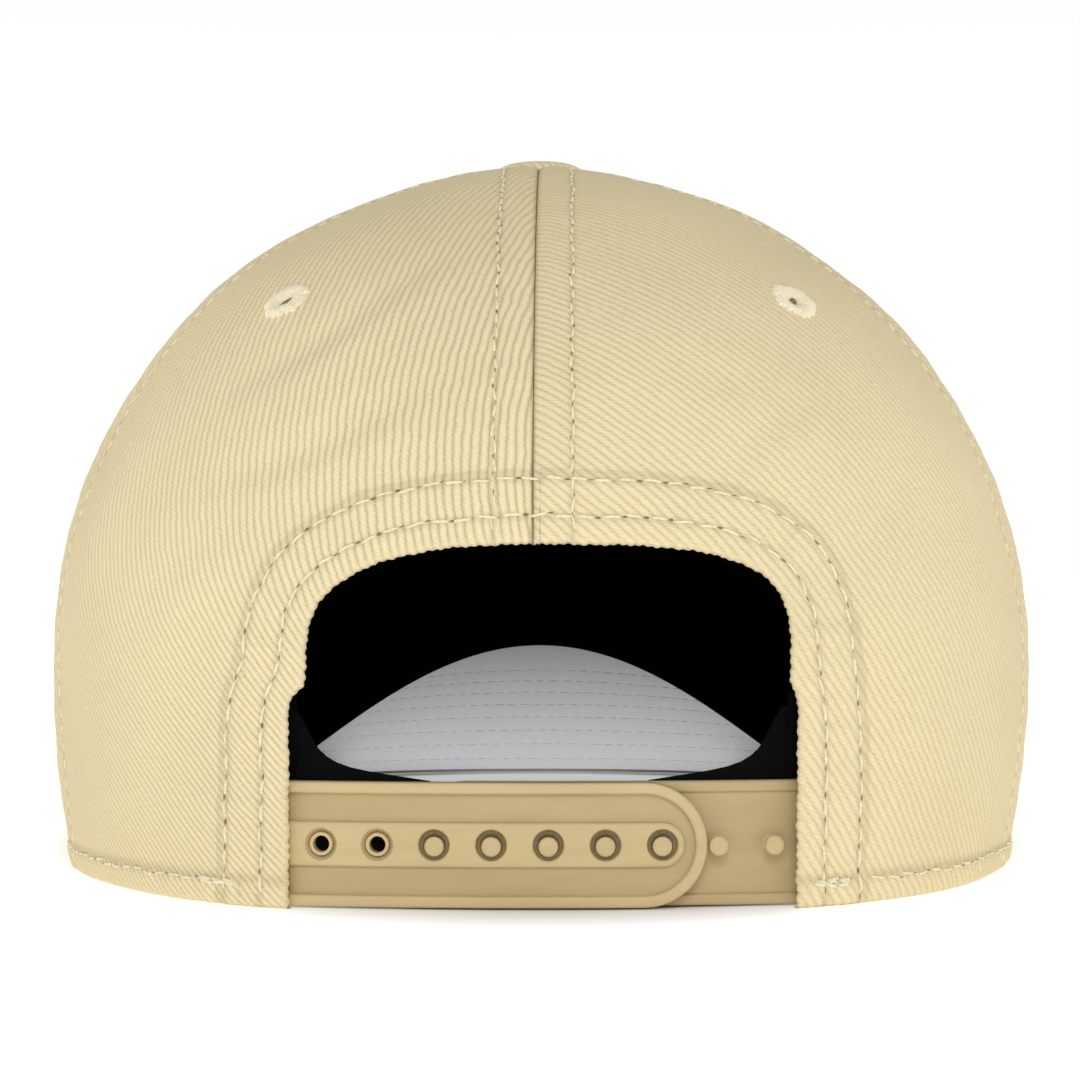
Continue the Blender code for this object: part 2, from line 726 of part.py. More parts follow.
def straps(home, cutters):
    middle = STRAP_BOTTOM + 0.5 * STRAP_HEIGHT
    half = 0.5 * STRAP_HEIGHT
    inner_half = half - RIM_WIDTH
    recess = FEMALE_THICK - FEMALE_WEB
    holes = [LAST_HOLE - HOLE_PITCH * k for k in range(HOLE_COUNT)]
    start = -STRAP_SLOT_LEFT + STRAP_EDGE + STRAP_STUB
    base = prism(
        "female_blank", pill(start, FEMALE_END, half, middle, 14), 0.0, FEMALE_THICK, cutters
    )
    floor = prism(
        "female_recess", pill(start - STRAP_CUT, FEMALE_END, inner_half, middle, 14),
        -MALE_THICK, recess, cutters,
    )
    band = prism(
        "female_band", pill(start, LAST_HOLE, BAND_HALF_HEIGHT, middle, 8),
        BAND_FLUSH, recess + BAND_FLUSH, cutters,
    )
    steps = [(floor, "DIFFERENCE"), (band, "UNION")]
    for k, x in enumerate(holes):
        radius = ENGAGED_HOLE_RADIUS if k < ENGAGED_HOLES else FREE_HOLE_RADIUS
        hole = cylinder(f"snap_hole_{k}", radius, STRAP_CUT, lying(x, 0), cutters, 16)
        steps.append((hole, "DIFFERENCE"))
    finish_strap("strap_female", base, steps, home)

    front = FEMALE_THICK + STRAP_GAP
    end = STRAP_SLOT_RIGHT - STRAP_EDGE - STRAP_STUB
    base = prism(
        "male_blank", pill(MALE_END, end, half, middle, 14, False), front, front + MALE_THICK,
        cutters,
    )
    floor = prism(
        "male_recess", pill(MALE_END, end + STRAP_CUT, inner_half, middle, 14, False),
        front - MALE_THICK, front + MALE_THICK - MALE_WEB, cutters,
    )
    steps = [(floor, "DIFFERENCE")]
    tip, root = PEG_TIP_DEPTH, front + MALE_THICK - PEG_ROOT
    pegs = [LAST_HOLE + HOLE_PITCH * k for k in range(1 - ENGAGED_HOLES, 1 + FREE_PEGS)]
    for k, x in enumerate(pegs):
        peg = cylinder(
            f"peg_{k}", PEG_RADIUS, root - tip, lying(x, 0.5 * (tip + root)), cutters, 12
        )
        steps.append((peg, "UNION"))
    finish_strap("strap_male", base, steps, home)
    for name, side, slot in (
        ("strap_female_tab", -1, STRAP_SLOT_LEFT), ("strap_male_tab", 1, STRAP_SLOT_RIGHT)
    ):
        strap_tab(name, side, slot, home)


def strap_tab(name, side, slot, home):
    """The sewn end of a strap, flat against the inside of the rear panel."""
    low = level_at(STRAP_BOTTOM + HEM_GAP)
    high = level_at(STRAP_BOTTOM + STRAP_HEIGHT)

    def place(u, v):
        reach = u if side > 0 else 1 - u
        x = side * (slot + TAB_GAP + TAB_LENGTH * reach)
        level = low + (high - low) * v
        return rear_point(x, section(level)[0], TAPE_DEPTH)

    return layer(name, 4, 2, place, TAB_THICK, "strap", home)


def main():
    clear_scene()
    cap = collection("baseball_cap")
    cutters = collection("cutters")
    crown_panels(cap, cutters)
    arch_facing(cap)
    seam_tapes(cap)
    button(cap)
    sweatband(cap)
    visor(cap)
    straps(cap, cutters)


main()
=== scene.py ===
"""Looks of the six-panel twill baseball cap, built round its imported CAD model.

Metres, +Z up, in the frame of the CAD model: the origin is the centre of the head opening, the visor
points along +Y and the snap strap faces -Y. Left and right are as seen from behind, so left is -X.
Cloth is made as fine shells on the crown's surface, with every stitch as its own piece of thread.
Its weave is drawn in each panel's own flat coordinates, in millimetres, kept in the attribute "cloth".
"""

import json
import math

import bmesh
import bpy
import numpy as np
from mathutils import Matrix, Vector
from mathutils.bvhtree import BVHTree


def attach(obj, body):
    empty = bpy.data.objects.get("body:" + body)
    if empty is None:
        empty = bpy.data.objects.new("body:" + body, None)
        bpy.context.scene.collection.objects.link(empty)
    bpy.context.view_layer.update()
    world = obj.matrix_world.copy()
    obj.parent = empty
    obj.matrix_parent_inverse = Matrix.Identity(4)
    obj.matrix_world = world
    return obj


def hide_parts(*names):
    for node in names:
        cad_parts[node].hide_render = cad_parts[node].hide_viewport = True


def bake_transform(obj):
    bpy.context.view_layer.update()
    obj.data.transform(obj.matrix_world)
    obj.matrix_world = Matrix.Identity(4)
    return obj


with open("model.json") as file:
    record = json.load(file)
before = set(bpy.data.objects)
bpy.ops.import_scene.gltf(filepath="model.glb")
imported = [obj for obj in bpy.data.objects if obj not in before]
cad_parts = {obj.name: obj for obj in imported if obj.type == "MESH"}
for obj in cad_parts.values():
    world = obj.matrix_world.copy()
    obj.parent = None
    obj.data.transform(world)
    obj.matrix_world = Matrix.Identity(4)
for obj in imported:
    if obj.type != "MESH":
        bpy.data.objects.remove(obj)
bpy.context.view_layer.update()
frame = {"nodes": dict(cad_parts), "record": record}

MM = 0.001
PI = math.pi
RANDOM = np.random.default_rng(11)

# Crown: outer surface, as in the CAD model
HALF_WIDTH = 92.3 * MM
REAR_LENGTH = 101.0 * MM
FRONT_LENGTH = 104.0 * MM
WIDEST_HEIGHT = 38.0 * MM
DOME_RISE = 93.2 * MM
SIDE_TAPER = 0.045
PLAN_POWER = 2.35
FRONT_FULLNESS = 0.3
WALL_SHARE = 0.21
APEX = WIDEST_HEIGHT + DOME_RISE
TOP_LEVEL = 0.978               # panels end here, under the button

# Seams, as azimuths from +X towards +Y
REAR_SEAM = math.radians(-90.7)
REAR_SIDE_SEAM = math.radians(-23)
FRONT_SIDE_SEAM = math.radians(34)
FRONT_SEAM = math.radians(90)
SEAMS = [REAR_SEAM, REAR_SIDE_SEAM, FRONT_SIDE_SEAM, FRONT_SEAM,
         PI - FRONT_SIDE_SEAM, PI - REAR_SIDE_SEAM]

# Rear opening, as in the CAD model
SLOT = {-1: 40.8 * MM, 1: 41.8 * MM}
ARCH = {-1: 37.8 * MM, 1: 40.6 * MM}
ARCH_POWER = {-1: 2.6, 1: 3.4}
STEP_HEIGHT = 35.0 * MM
STEP_HALF = 1.5 * MM
SPRING_HEIGHT = 41.0 * MM
ARCH_RISE = 17.9 * MM

# Sewing
SEAM_ROW = 6.35 * MM            # topstitching on both sides of each seam
SEAM_PITCH = 3.3 * MM
ARCH_ROWS = (4.3 * MM, 10.3 * MM)
ARCH_PITCH = 3.95 * MM
HEM_ROW = 4.0 * MM
HEM_PITCH = 3.7 * MM
TACK_START = {-1: 8.5 * MM, 1: 2.2 * MM}                # from the opening, along the hem
TACK_LENGTH = 8.5 * MM
THREAD_RADIUS = 0.26 * MM
STRIP_WIDTH = 13.0 * MM         # band of finer mesh round the opening
CLOTH_THICK = 1.0 * MM
EDGE_THICK = 1.5 * MM           # folded edge of the opening
HEM_THICK = 1.8 * MM
INNER_RELIEF = 0.3 * MM         # the inner face follows the outer one only this far out

# Twill
TWILL_LEAN = 35                 # ridges lean this many degrees from a panel's middle line
TWILL_PITCH = 1.4               # between ridges, in the cloth's own millimetres

EYELET_HEIGHT = 101.0 * MM
EYELET_RADIUS = 4.2 * MM
EYELET_HOLE = 2.3 * MM          # radius of the hole in the cloth, hidden under the ring
EYELETS = {"rear": -53.5, "side": 5.5, "front": 62.0}    # azimuths on the right, in degrees

# Visor, as in the CAD model
VISOR_PEAK = 35.0 * MM
VISOR_SEAM_POWER = 1.8
VISOR_MID = 2.4 * MM
VISOR_TIP = 160.0 * MM
VISOR_HALF_WIDTH = 87.0 * MM
VISOR_CENTRE = 62.0 * MM
VISOR_PLAN_POWER = 2.3
VISOR_CORNER_TUCK = 0.075
VISOR_TUCK_TURN = math.radians(14)
VISOR_INSET = 1.4 * MM
VISOR_CORNER_GAP = math.radians(2.0)
VISOR_EDGE_HEIGHT = 2.1 * MM    # a little under the solid one, so that it touches the floor
VISOR_CROWN = 3.0 * MM
VISOR_HALF_THICK = 1.85 * MM    # from its middle layer to the outside of either cover
VISOR_ROWS = 8                  # of topstitching
VISOR_ROW_GAP = 6.2 * MM
VISOR_FIRST_ROW = 5.0 * MM      # from the edge

# Snap strap, as in the CAD model
STRAP_BEND = 250.0 * MM
STRAP_CENTRE_Y = -95.6 * MM
STRAP_HEIGHT = 20.2 * MM
STRAP_BOTTOM = 0.3 * MM
FEMALE_THICK = 2.2 * MM
FEMALE_WEB = 1.2 * MM
FEMALE_END = 17.0 * MM
RIM_WIDTH = 1.9 * MM
BAND_HALF_HEIGHT = 3.65 * MM
HOLE_PITCH = 9.23 * MM
LAST_HOLE = 19.8 * MM
HOLE_COUNT = 7
ENGAGED_HOLES = 5
MALE_FRONT = 2.5 * MM
MALE_THICK = 1.6 * MM
MALE_WEB = 1.0 * MM
MALE_END = -12.0 * MM
STRAP_MIDDLE = STRAP_BOTTOM + 0.5 * STRAP_HEIGHT
STRAP_HALF = 0.5 * STRAP_HEIGHT
STRAP_TUCK = 7.0 * MM           # length of either strap's end sewn in behind the cloth
WEB_INSET = 0.6 * MM            # from the rim's outline to the web's
PEG_DROP = 0.26 * MM            # pegs sit this much below the middle of their holes


# --- Materials ---


def srgb(red, green, blue):
    """A linear colour from the 0 to 255 values of a colour picker."""
    share = np.array([red, green, blue]) / 255
    low, high = share / 12.92, ((share + 0.055) / 1.055) ** 2.4
    return (*np.where(share <= 0.04045, low, high).tolist(), 1.0)


class Nodes:
    """Builds one material's node tree with short calls."""

    def __init__(self, name):
        self.material = bpy.data.materials.new(name)
        self.material.use_nodes = True
        self.tree = self.material.node_tree
        self.shader = self.tree.nodes["Principled BSDF"]

    def add(self, kind, inputs=(), **settings):
        node = self.tree.nodes.new("ShaderNode" + kind)
        for key, value in settings.items():
            setattr(node, key, value)
        for key, value in dict(inputs).items():
            self.put(node.inputs[key], value)
        return node

    def put(self, socket, value):
        if isinstance(value, bpy.types.NodeSocket):
            self.tree.links.new(value, socket)
        else:
            socket.default_value = value

    def math(self, operation, *values):
        node = self.add("Math", operation=operation)
        for socket, value in zip(node.inputs, values):
            self.put(socket, value)
        return node.outputs[0]

    def mix(self, factor, first, second, blend="MIX"):
        node = self.add("Mix", data_type="RGBA", blend_type=blend)
        for socket, value in zip((node.inputs[0], node.inputs[6], node.inputs[7]),
                                 (factor, first, second)):
            self.put(socket, value)
        return node.outputs[2]

    def noise(self, vector, scale, detail=2.0, rough=0.5):
        inputs = {"Vector": vector, "Scale": scale, "Detail": detail, "Roughness": rough}
        return self.add("TexNoise", inputs).outputs["Fac"]

    def remap(self, value, low, high, to_low=0.0, to_high=1.0):
        inputs = {0: value, 1: low, 2: high, 3: to_low, 4: to_high}
        return self.add("MapRange", inputs).outputs[0]

    def place(self):
        return self.add("TexCoord").outputs["Object"]

    def set(self, **sockets):
        for key, value in sockets.items():
            self.put(self.shader.inputs[key.replace("_", " ")], value)
        return self

    def bump(self, height, depth):
        node = self.add("Bump", {"Height": height, "Distance": depth, "Strength": 1.0})
        self.put(self.shader.inputs["Normal"], node.outputs[0])
        return self.material


def twill(name, ridge, groove, contrast=1.0, depth=0.16 * MM, soil=0.05):
    """Diagonal twill: rounded ridges made of short floats of yarn, drawn in cloth millimetres."""
    n = Nodes(name)
    cloth = n.add("Attribute", attribute_name="cloth").outputs["Vector"]
    across, along, strength = n.add("SeparateXYZ", {0: cloth}).outputs
    slow = n.noise(cloth, 0.16, 2.0)
    fine = n.noise(cloth, 0.9, 3.0, 0.6)
    wobble = n.math("MULTIPLY_ADD", n.math("SUBTRACT", slow, 0.5), 1.0,
                    n.math("MULTIPLY", n.math("SUBTRACT", fine, 0.5), 0.3))
    phase = n.math("MULTIPLY", n.math("ADD", across, wobble), PI / TWILL_PITCH)
    ridges = n.math("POWER", n.math("ABSOLUTE", n.math("SINE", phase)), 0.7)
    floats = n.math("MULTIPLY", n.math("ADD", along, n.math("MULTIPLY", across, 0.62)),
                    2 * PI / 0.95)
    yarn = n.math("MULTIPLY_ADD", n.math("SINE", floats), 0.5, 0.5)
    fuzz = n.noise(cloth, 3.2, 3.0, 0.7)
    height = n.math("ADD", n.math("MULTIPLY", ridges, strength),
                    n.math("ADD", n.math("MULTIPLY", yarn, 0.16), n.math("MULTIPLY", fuzz, 0.5)))
    # Ridges lighter and grooves darker: the groove colour is painted shade in the twill's grooves,
    # scaled by the contrast
    tone = n.math("ADD", n.math("MULTIPLY", n.math("SUBTRACT", ridges, 0.62), strength),
                  n.math("MULTIPLY", n.math("SUBTRACT", fuzz, 0.5), 0.9))
    tone = n.math("MULTIPLY_ADD", n.math("SUBTRACT", yarn, 0.5), 0.12, tone)
    tone = n.remap(n.math("MULTIPLY", tone, contrast), -0.62, 0.38)
    colour = n.mix(tone, groove, ridge)
    patches = n.remap(n.noise(n.place(), 26.0, 3.0), 0.3, 0.7, 1 - soil, 1 + 0.4 * soil)
    # Painted shade: cloth in the grooves of seams and stitch rows is darkened towards dark brown
    groove_shade = n.add("Attribute", attribute_name="groove_shade").outputs["Fac"]
    colour = n.mix(n.math("MULTIPLY", groove_shade, 0.5), colour, srgb(134, 113, 72))
    n.set(Base_Color=n.mix(1.0, colour, n.add("CombineColor", {0: patches, 1: patches,
                                                              2: patches}).outputs[0], "MULTIPLY"),
          Roughness=n.remap(fuzz, 0.2, 0.8, 0.8, 0.97), Specular_IOR_Level=0.25)
    return n.bump(height, depth)


def woven(name, colour, dark, pitch=0.5, depth=0.05 * MM, rough=0.93, level=0.2):
    """Plain weave in object space, for tapes, bands and linings."""
    n = Nodes(name)
    place = n.place()
    x, y, z = n.add("SeparateXYZ", {0: place}).outputs
    turn = 2 * PI / (pitch * MM)
    warp = n.math("SINE", n.math("MULTIPLY", n.math("ADD", x, y), turn))
    weft = n.math("SINE", n.math("MULTIPLY", n.math("ADD", z, n.math("MULTIPLY", y, 0.3)), turn))
    weave = n.math("MULTIPLY_ADD", n.math("MULTIPLY", warp, weft), 0.5, 0.5)
    fuzz = n.noise(place, 1500.0, 3.0, 0.7)
    tone = n.remap(n.math("ADD", weave, fuzz), 0.3, 1.5)
    n.set(Base_Color=n.mix(tone, dark, colour), Specular_IOR_Level=level,
          Roughness=n.remap(fuzz, 0.2, 0.8, rough - 0.1, rough))
    return n.bump(n.math("ADD", weave, fuzz), depth)


def thread(name, colour, dark):
    """Spun thread with soft sheen and slight lint."""
    n = Nodes(name)
    lint = n.noise(n.place(), 2600.0, 3.0, 0.65)
    n.set(Base_Color=n.mix(n.remap(lint, 0.3, 0.65), dark, colour),
          Roughness=n.remap(lint, 0.2, 0.8, 0.6, 0.85), Specular_IOR_Level=0.3,
          Sheen_Weight=0.15)
    return n.bump(lint, 0.08 * MM)


def moulded(name, colour, dark, rough=0.42, depth=0.02 * MM):
    """Moulded polyethylene: fine satin skin with faint flow marks and scuffs."""
    n = Nodes(name)
    place = n.place()
    flow = n.noise(n.add("Mapping", {"Vector": place, "Scale": (60, 60, 420)}).outputs[0], 1.0, 3.0)
    skin = n.noise(place, 4200.0, 2.0)
    scuff = n.noise(n.add("Mapping", {"Vector": place, "Scale": (220, 220, 1500)}).outputs[0],
                    1.0, 4.0, 0.7)
    n.set(Base_Color=n.mix(n.remap(flow, 0.3, 0.7), dark, colour),
          Roughness=n.remap(scuff, 0.35, 0.7, rough, rough + 0.2), Specular_IOR_Level=0.4)
    return n.bump(n.math("ADD", skin, n.math("MULTIPLY", flow, 0.6)), depth)


def pit(name, colour):
    """Painted shade of the cloth round a needle hole."""
    n = Nodes(name)
    lint = n.noise(n.place(), 3000.0, 2.0)
    dark = tuple(0.45 * c for c in colour[:3]) + (1.0,)
    n.set(Base_Color=n.mix(lint, dark, colour), Roughness=0.95, Specular_IOR_Level=0.1)
    return n.material


def studio_floor():
    """A light table: pale and lit from below, with painted shadow where the cap would shade it and a
    weaker painted glow under the visor.
    """
    n = Nodes("pale_floor")
    grain = n.noise(n.place(), 3.0, 2.0)
    tint_and_shadow = n.mix(grain, (0.90, 0.90, 0.905, 1), (0.93, 0.93, 0.935, 1))
    # Distance from the middle of the cap in its plan, 1 near its outline
    scaled = n.add("Mapping", {"Vector": n.place(), "Location": (0, -0.24, 0),
                               "Scale": (11.5, 7.9, 1)}).outputs[0]
    away = n.add("VectorMath", {0: scaled}, operation="LENGTH").outputs[1]
    ahead = n.add("SeparateXYZ", {0: n.place()}).outputs[1]
    # A weaker painted glow of the floor under the visor, rising towards its tip
    painted_glow_under_visor = n.math("MULTIPLY", n.remap(ahead, 0.085, 0.14, 0.0, 0.34),
                         n.remap(away, 0.99, 1.05, 1.0, 0.0))
    # Moves the painted shadow forward, out past the visor's tip
    away = n.math("ADD", away, n.remap(ahead, 0.1, 0.14, 0.0, -0.2))
    # Painted shadow: the floor's glow is left out round the cap and rises away from it
    near = n.math("ADD", n.remap(away, 0.99, 1.14, 0.0, 0.5), painted_glow_under_visor)
    far = n.remap(away, 2.0, 5.0, 0.0, 0.4)
    # Painted shadow: the floor's tint is halved under and close round the cap
    tint_and_shadow = n.mix(n.remap(away, 0.9, 1.02), (0.5, 0.5, 0.51, 1), tint_and_shadow)
    n.set(Base_Color=tint_and_shadow, Roughness=0.9, Specular_IOR_Level=0.1,
          Emission_Color=(1.0, 1.0, 1.0, 1.0), Emission_Strength=n.math("ADD", near, far))
    return n.material


# Ridge colour, and a darker groove colour that paints the shade in the twill's grooves
TWILL = twill("khaki_twill", srgb(243, 228, 186), srgb(196, 177, 131))
LINING = woven("black_lining", (0.006, 0.006, 0.0065, 1), (0.003, 0.003, 0.003, 1), 0.6,
               level=0.02)
UNDERVISOR = woven("grey_undervisor", (0.47, 0.47, 0.475, 1), (0.42, 0.42, 0.425, 1), 0.42,
                   0.02 * MM)
BOARD = moulded("visor_board_plastic", (0.78, 0.78, 0.75, 1), (0.72, 0.72, 0.68, 1))
THREAD = thread("cream_thread", srgb(248, 240, 214), srgb(222, 208, 168))
# Dark colour of painted shade, for needle holes and eyelet slots
PIT = pit("needle_hole_shade", srgb(160, 138, 94))
STRAP = moulded("tan_strap_plastic", srgb(206, 184, 136), srgb(198, 176, 128))
# Recess floors: rougher moulding, and darker as painted shade
STRAP_RECESS_SHADE = moulded("tan_strap_recess_shaded", srgb(190, 169, 124), srgb(184, 163, 118), 0.5, 0.035 * MM)


# --- The crown's surface, for arrays of azimuths and levels ---


def unit(vectors):
    """The same vectors at length 1."""
    return vectors / np.linalg.norm(vectors, axis=-1, keepdims=True)


def walk(points):
    """Distance along a line of points up to each of them."""
    return np.append(0, np.cumsum(np.linalg.norm(np.diff(points, axis=0), axis=-1)))


def smooth(low, high, value):
    """A soft step from 0 at low to 1 at high."""
    share = np.clip((value - low) / (high - low), 0, 1)
    return share * share * (3 - 2 * share)


def bell(value, middle, width):
    """A soft bump, 1 at the middle."""
    return np.exp(-(((value - middle) / width) ** 2))


def section(level):
    """Height, turn of the dome and side taper at levels from 0, the hem, to 1, the apex."""
    below = np.clip(1 - level / WALL_SHARE, 0, None)
    turn = np.clip(0.5 * PI * (level - WALL_SHARE) / (1 - WALL_SHARE), 0, None)
    return WIDEST_HEIGHT * (1 - below) + DOME_RISE * np.sin(turn), turn, SIDE_TAPER * below**2


def level_at(height):
    """Level of the crown's surface at a height, the reverse of section."""
    height = np.asarray(height, float)
    turn = np.arcsin(np.clip((height - WIDEST_HEIGHT) / DOME_RISE, 0, 1))
    dome = WALL_SHARE + (1 - WALL_SHARE) * turn / (0.5 * PI)
    return np.where(height < WIDEST_HEIGHT, WALL_SHARE * height / WIDEST_HEIGHT, dome)


def outer_point(azimuth, level):
    """Points of the crown's outer surface."""
    azimuth, level = np.broadcast_arrays(np.asarray(azimuth, float), np.asarray(level, float))
    height, turn, taper = section(level)
    ahead = np.clip(np.sin(azimuth), 0, None)
    power = 2 + FRONT_FULLNESS * ahead**2
    share = np.clip(1 - np.abs(np.sin(turn)) ** power, 1e-12, None) ** (1 / power)
    plan = 2 + (PLAN_POWER - 2) * share**2
    length = np.where(ahead > 0, FRONT_LENGTH, REAR_LENGTH)
    across = (np.abs(np.cos(azimuth)) / (HALF_WIDTH * (1 - taper))) ** plan
    along = (np.abs(np.sin(azimuth)) / length) ** plan
    reach = share * (across + along) ** (-1 / plan)
    return np.stack([reach * np.cos(azimuth), reach * np.sin(azimuth), height], -1)


def reach_of(azimuth, level):
    """Distance of the crown's surface from its axis."""
    return np.hypot(*np.moveaxis(outer_point(azimuth, level), -1, 0)[:2])


def normal_at(azimuth, level):
    """The way straight out of the crown's surface."""
    small = 1e-3
    around = outer_point(azimuth + small, level) - outer_point(azimuth - small, level)
    upward = outer_point(azimuth, level + small) - outer_point(azimuth, level - small)
    return unit(np.cross(around, upward))


def crown_row(azimuth, level):
    """Points on the crown's surface and the way out of it at each."""
    return outer_point(azimuth, level), normal_at(azimuth, level)


def crown_inside(azimuth, level, depth):
    """Points this deep under the crown's surface."""
    return outer_point(azimuth, level) - normal_at(azimuth, level) * depth


def rear_azimuth(x, level):
    """Azimuth of the rear wall's point at the given x, found by halving."""
    low, high = np.full(np.shape(x), -PI), np.zeros(np.shape(x))
    for _ in range(36):
        middle = 0.5 * (low + high)
        left = outer_point(middle, level)[..., 0] < x
        low, high = np.where(left, middle, low), np.where(left, high, middle)
    return middle


def wrap(angle):
    """The same angle between -180 and 180 degrees."""
    return (angle + PI) % (2 * PI) - PI


def row_offset(reach):
    """Distance from a seam to its topstitching, less near the button where the panels narrow."""
    return np.minimum(SEAM_ROW, 0.46 * reach)


# --- Rear opening ---

ARCH_STEP = 0.2 * MM            # between the points of the opening's outline


def blurred(points, width):
    """The outline smoothed over a width, mirrored at the arch's middle and straight past the hem."""
    reach = int(3 * width / ARCH_STEP)
    kernel = np.exp(-0.5 * (np.arange(-reach, reach + 1) * ARCH_STEP / width) ** 2)
    mirrored = 2 * points[0] - points[reach:0:-1]
    mirrored[:, 1] = points[reach:0:-1, 1]
    after = points[-1] + (points[-1] - points[-2]) * np.arange(1, reach + 1)[:, None]
    padded = np.concatenate([mirrored, points, after])
    kernel /= kernel.sum()
    return np.stack([np.convolve(padded[:, k], kernel, "valid") for k in (0, 1)], -1)


def arch_half(side, spacing):
    """Half the opening's outline, from the middle of the arch down to the hem: distances along it,
    its points in X and Z, the same smoothed more, and the way out from the opening."""
    turns = np.linspace(0.5 * PI, 0, 160)
    power = 2 / ARCH_POWER[side]
    wide, slot = ARCH[side], SLOT[side]
    x = np.concatenate([wide * np.cos(turns) ** power, [wide, slot, slot]])
    z = np.concatenate([SPRING_HEIGHT + ARCH_RISE * np.sin(turns) ** power,
                        [STEP_HEIGHT + STEP_HALF, STEP_HEIGHT - STEP_HALF, 0.0]])
    x[0], z[0] = 0.0, SPRING_HEIGHT + ARCH_RISE
    walked = walk(np.stack([x, z], -1))
    total = walked[-1]
    dense = np.arange(0, total, ARCH_STEP)
    edge = np.stack([np.interp(dense, walked, x), np.interp(dense, walked, z)], -1)
    fine, broad = blurred(edge, 0.7 * MM), blurred(edge, 4.0 * MM)
    run = np.gradient(broad, axis=0)
    away = unit(np.stack([-run[:, 1], run[:, 0]], -1))
    away[0] = (0.0, 1.0)
    spacing = np.append(spacing[spacing < total - 0.1 * MM], total)
    pick = [np.stack([np.interp(spacing, dense, line[:, k]) for k in (0, 1)], -1)
            for line in (fine, broad, away)]
    pick[0][-1, 1] = pick[1][-1, 1] = 0.0
    pick[2][-1] = (1.0, 0.0)
    for line in pick:
        line[:, 0] *= side
    return spacing, *pick


def arch_place(side, spacing, distance, wavy=0.0):
    """X and Z of points at distances out from the edge of the opening, which its yarns make wavy."""
    walked, fine, broad, away = arch_half(side, spacing)
    turns = 2 * PI * walked / (1.5 * MM)
    wave = wavy * (np.sin(turns + 1.4 * np.sin(walked / (2.3 * MM)))
                   + 0.6 * np.sin(0.37 * turns + side) + 0.5 * np.sin(0.13 * turns))
    distance = distance[None] + wave[:, None] * np.exp(-distance / (1.1 * MM))[None]
    keep = np.exp(-distance / (3.5 * MM))[..., None]
    points = broad[:, None] + (fine - broad)[:, None] * keep + away[:, None] * distance[..., None]
    return walked, points[..., 0], np.clip(points[..., 1], 0.0, None)


def arch_distance(points):
    """Distance of crown points from the edge of the opening, negative inside it, and how far
    along the edge the nearest part is, signed by side."""
    distance = np.full(len(points), 1.0)
    walked = np.zeros(len(points))
    inside = np.zeros(len(points), bool)
    for side in (-1, 1):
        along, fine, _, _ = arch_half(side, np.arange(0, 0.2, 0.5 * MM))
        level = level_at(fine[:, 1])
        edge = outer_point(rear_azimuth(fine[:, 0], level), level)
        near = (points[:, 1] < 0) & (points[:, 0] * side >= 0) & (points[:, 2] < 0.1)
        gap = np.linalg.norm(points[near][:, None] - edge[None], axis=-1)
        closest = gap.argmin(1)
        distance[near] = gap[np.arange(len(gap)), closest]
        walked[near] = side * along[closest]
        limit = np.interp(points[near][:, 2], fine[::-1, 1], fine[::-1, 0] * side)
        low = points[near][:, 2] < SPRING_HEIGHT + ARCH_RISE
        inside[near] = low & (points[near][:, 0] * side < limit)
    return np.where(inside, -distance, distance), walked


# --- Relief of the sewn cloth ---


def seam_relief(distance, reach, walked):
    """Height of the cloth near a seam: a sharp fold, a raised allowance and pinched stitches."""
    d, row, s = distance / MM, row_offset(reach) / MM, walked / MM
    fold = 0.5 - np.sqrt(np.clip(0.5**2 - np.clip(0.5 - d, 0, None) ** 2, 0, None))
    valley = -fold - 0.28 * bell(d, 0, 1.4)
    allowance = 0.22 * (smooth(0.6, 2.2, d) - smooth(row - 0.3, row + 1.2, d))
    pinch = -(0.22 + 0.03 * np.cos(2 * PI * s * MM / SEAM_PITCH)) * bell(d, row, 0.62)
    ripple = np.sin(2 * PI * s / 6.9 + 0.8) + 0.7 * np.sin(2 * PI * s / 11.3 + 2.1)
    return (valley + allowance + pinch + 0.06 * ripple * bell(d, row, 3.4)) * MM


def arch_relief(distance, walked):
    """Height of the cloth round the opening: a padded facing, two rows of stitches and puckers."""
    d, s = distance / MM, walked / MM
    rows = [row / MM for row in ARCH_ROWS]
    padded = 0.34 * (1 - smooth(rows[1] - 0.4, rows[1] + 1.3, d))
    pinch = sum((0.2 + 0.08 * np.cos(2 * PI * s * MM / ARCH_PITCH)) * bell(d, row, 0.6)
                for row in rows)
    puckers = (np.sin(2 * PI * s / 5.3) + 0.8 * np.sin(2 * PI * s / 8.1 + 1.3)
               + 0.6 * np.sin(2 * PI * s / 3.7 + 0.4))
    drag = np.sin(2 * PI * s / 12.7 + 0.6) + 0.7 * np.sin(2 * PI * s / 19.1 + 2.0)
    outside = np.clip(d, 0, None)
    return (padded - pinch + 0.085 * puckers * bell(d, 7.0, 5.0)
            + 0.17 * drag * smooth(3, 12, outside) * np.exp(-outside / 16)) * MM


def hem_relief(height, walked):
    """Height of the cloth above the hem: a turned-up band under a row of stitches."""
    z, s = height / MM, walked / MM
    row = HEM_ROW / MM
    band = 0.38 * (1 - smooth(row - 0.3, row + 0.6, z)) * smooth(-0.5, 1.2, z)
    pinch = (0.22 + 0.08 * np.cos(2 * PI * s * MM / HEM_PITCH)) * bell(z, row, 0.6)
    puckers = np.sin(2 * PI * s / 4.6) + 0.8 * np.sin(2 * PI * s / 7.3 + 1.0)
    return (band - pinch + 0.1 * puckers * bell(z, 2.6, 3.4)) * MM


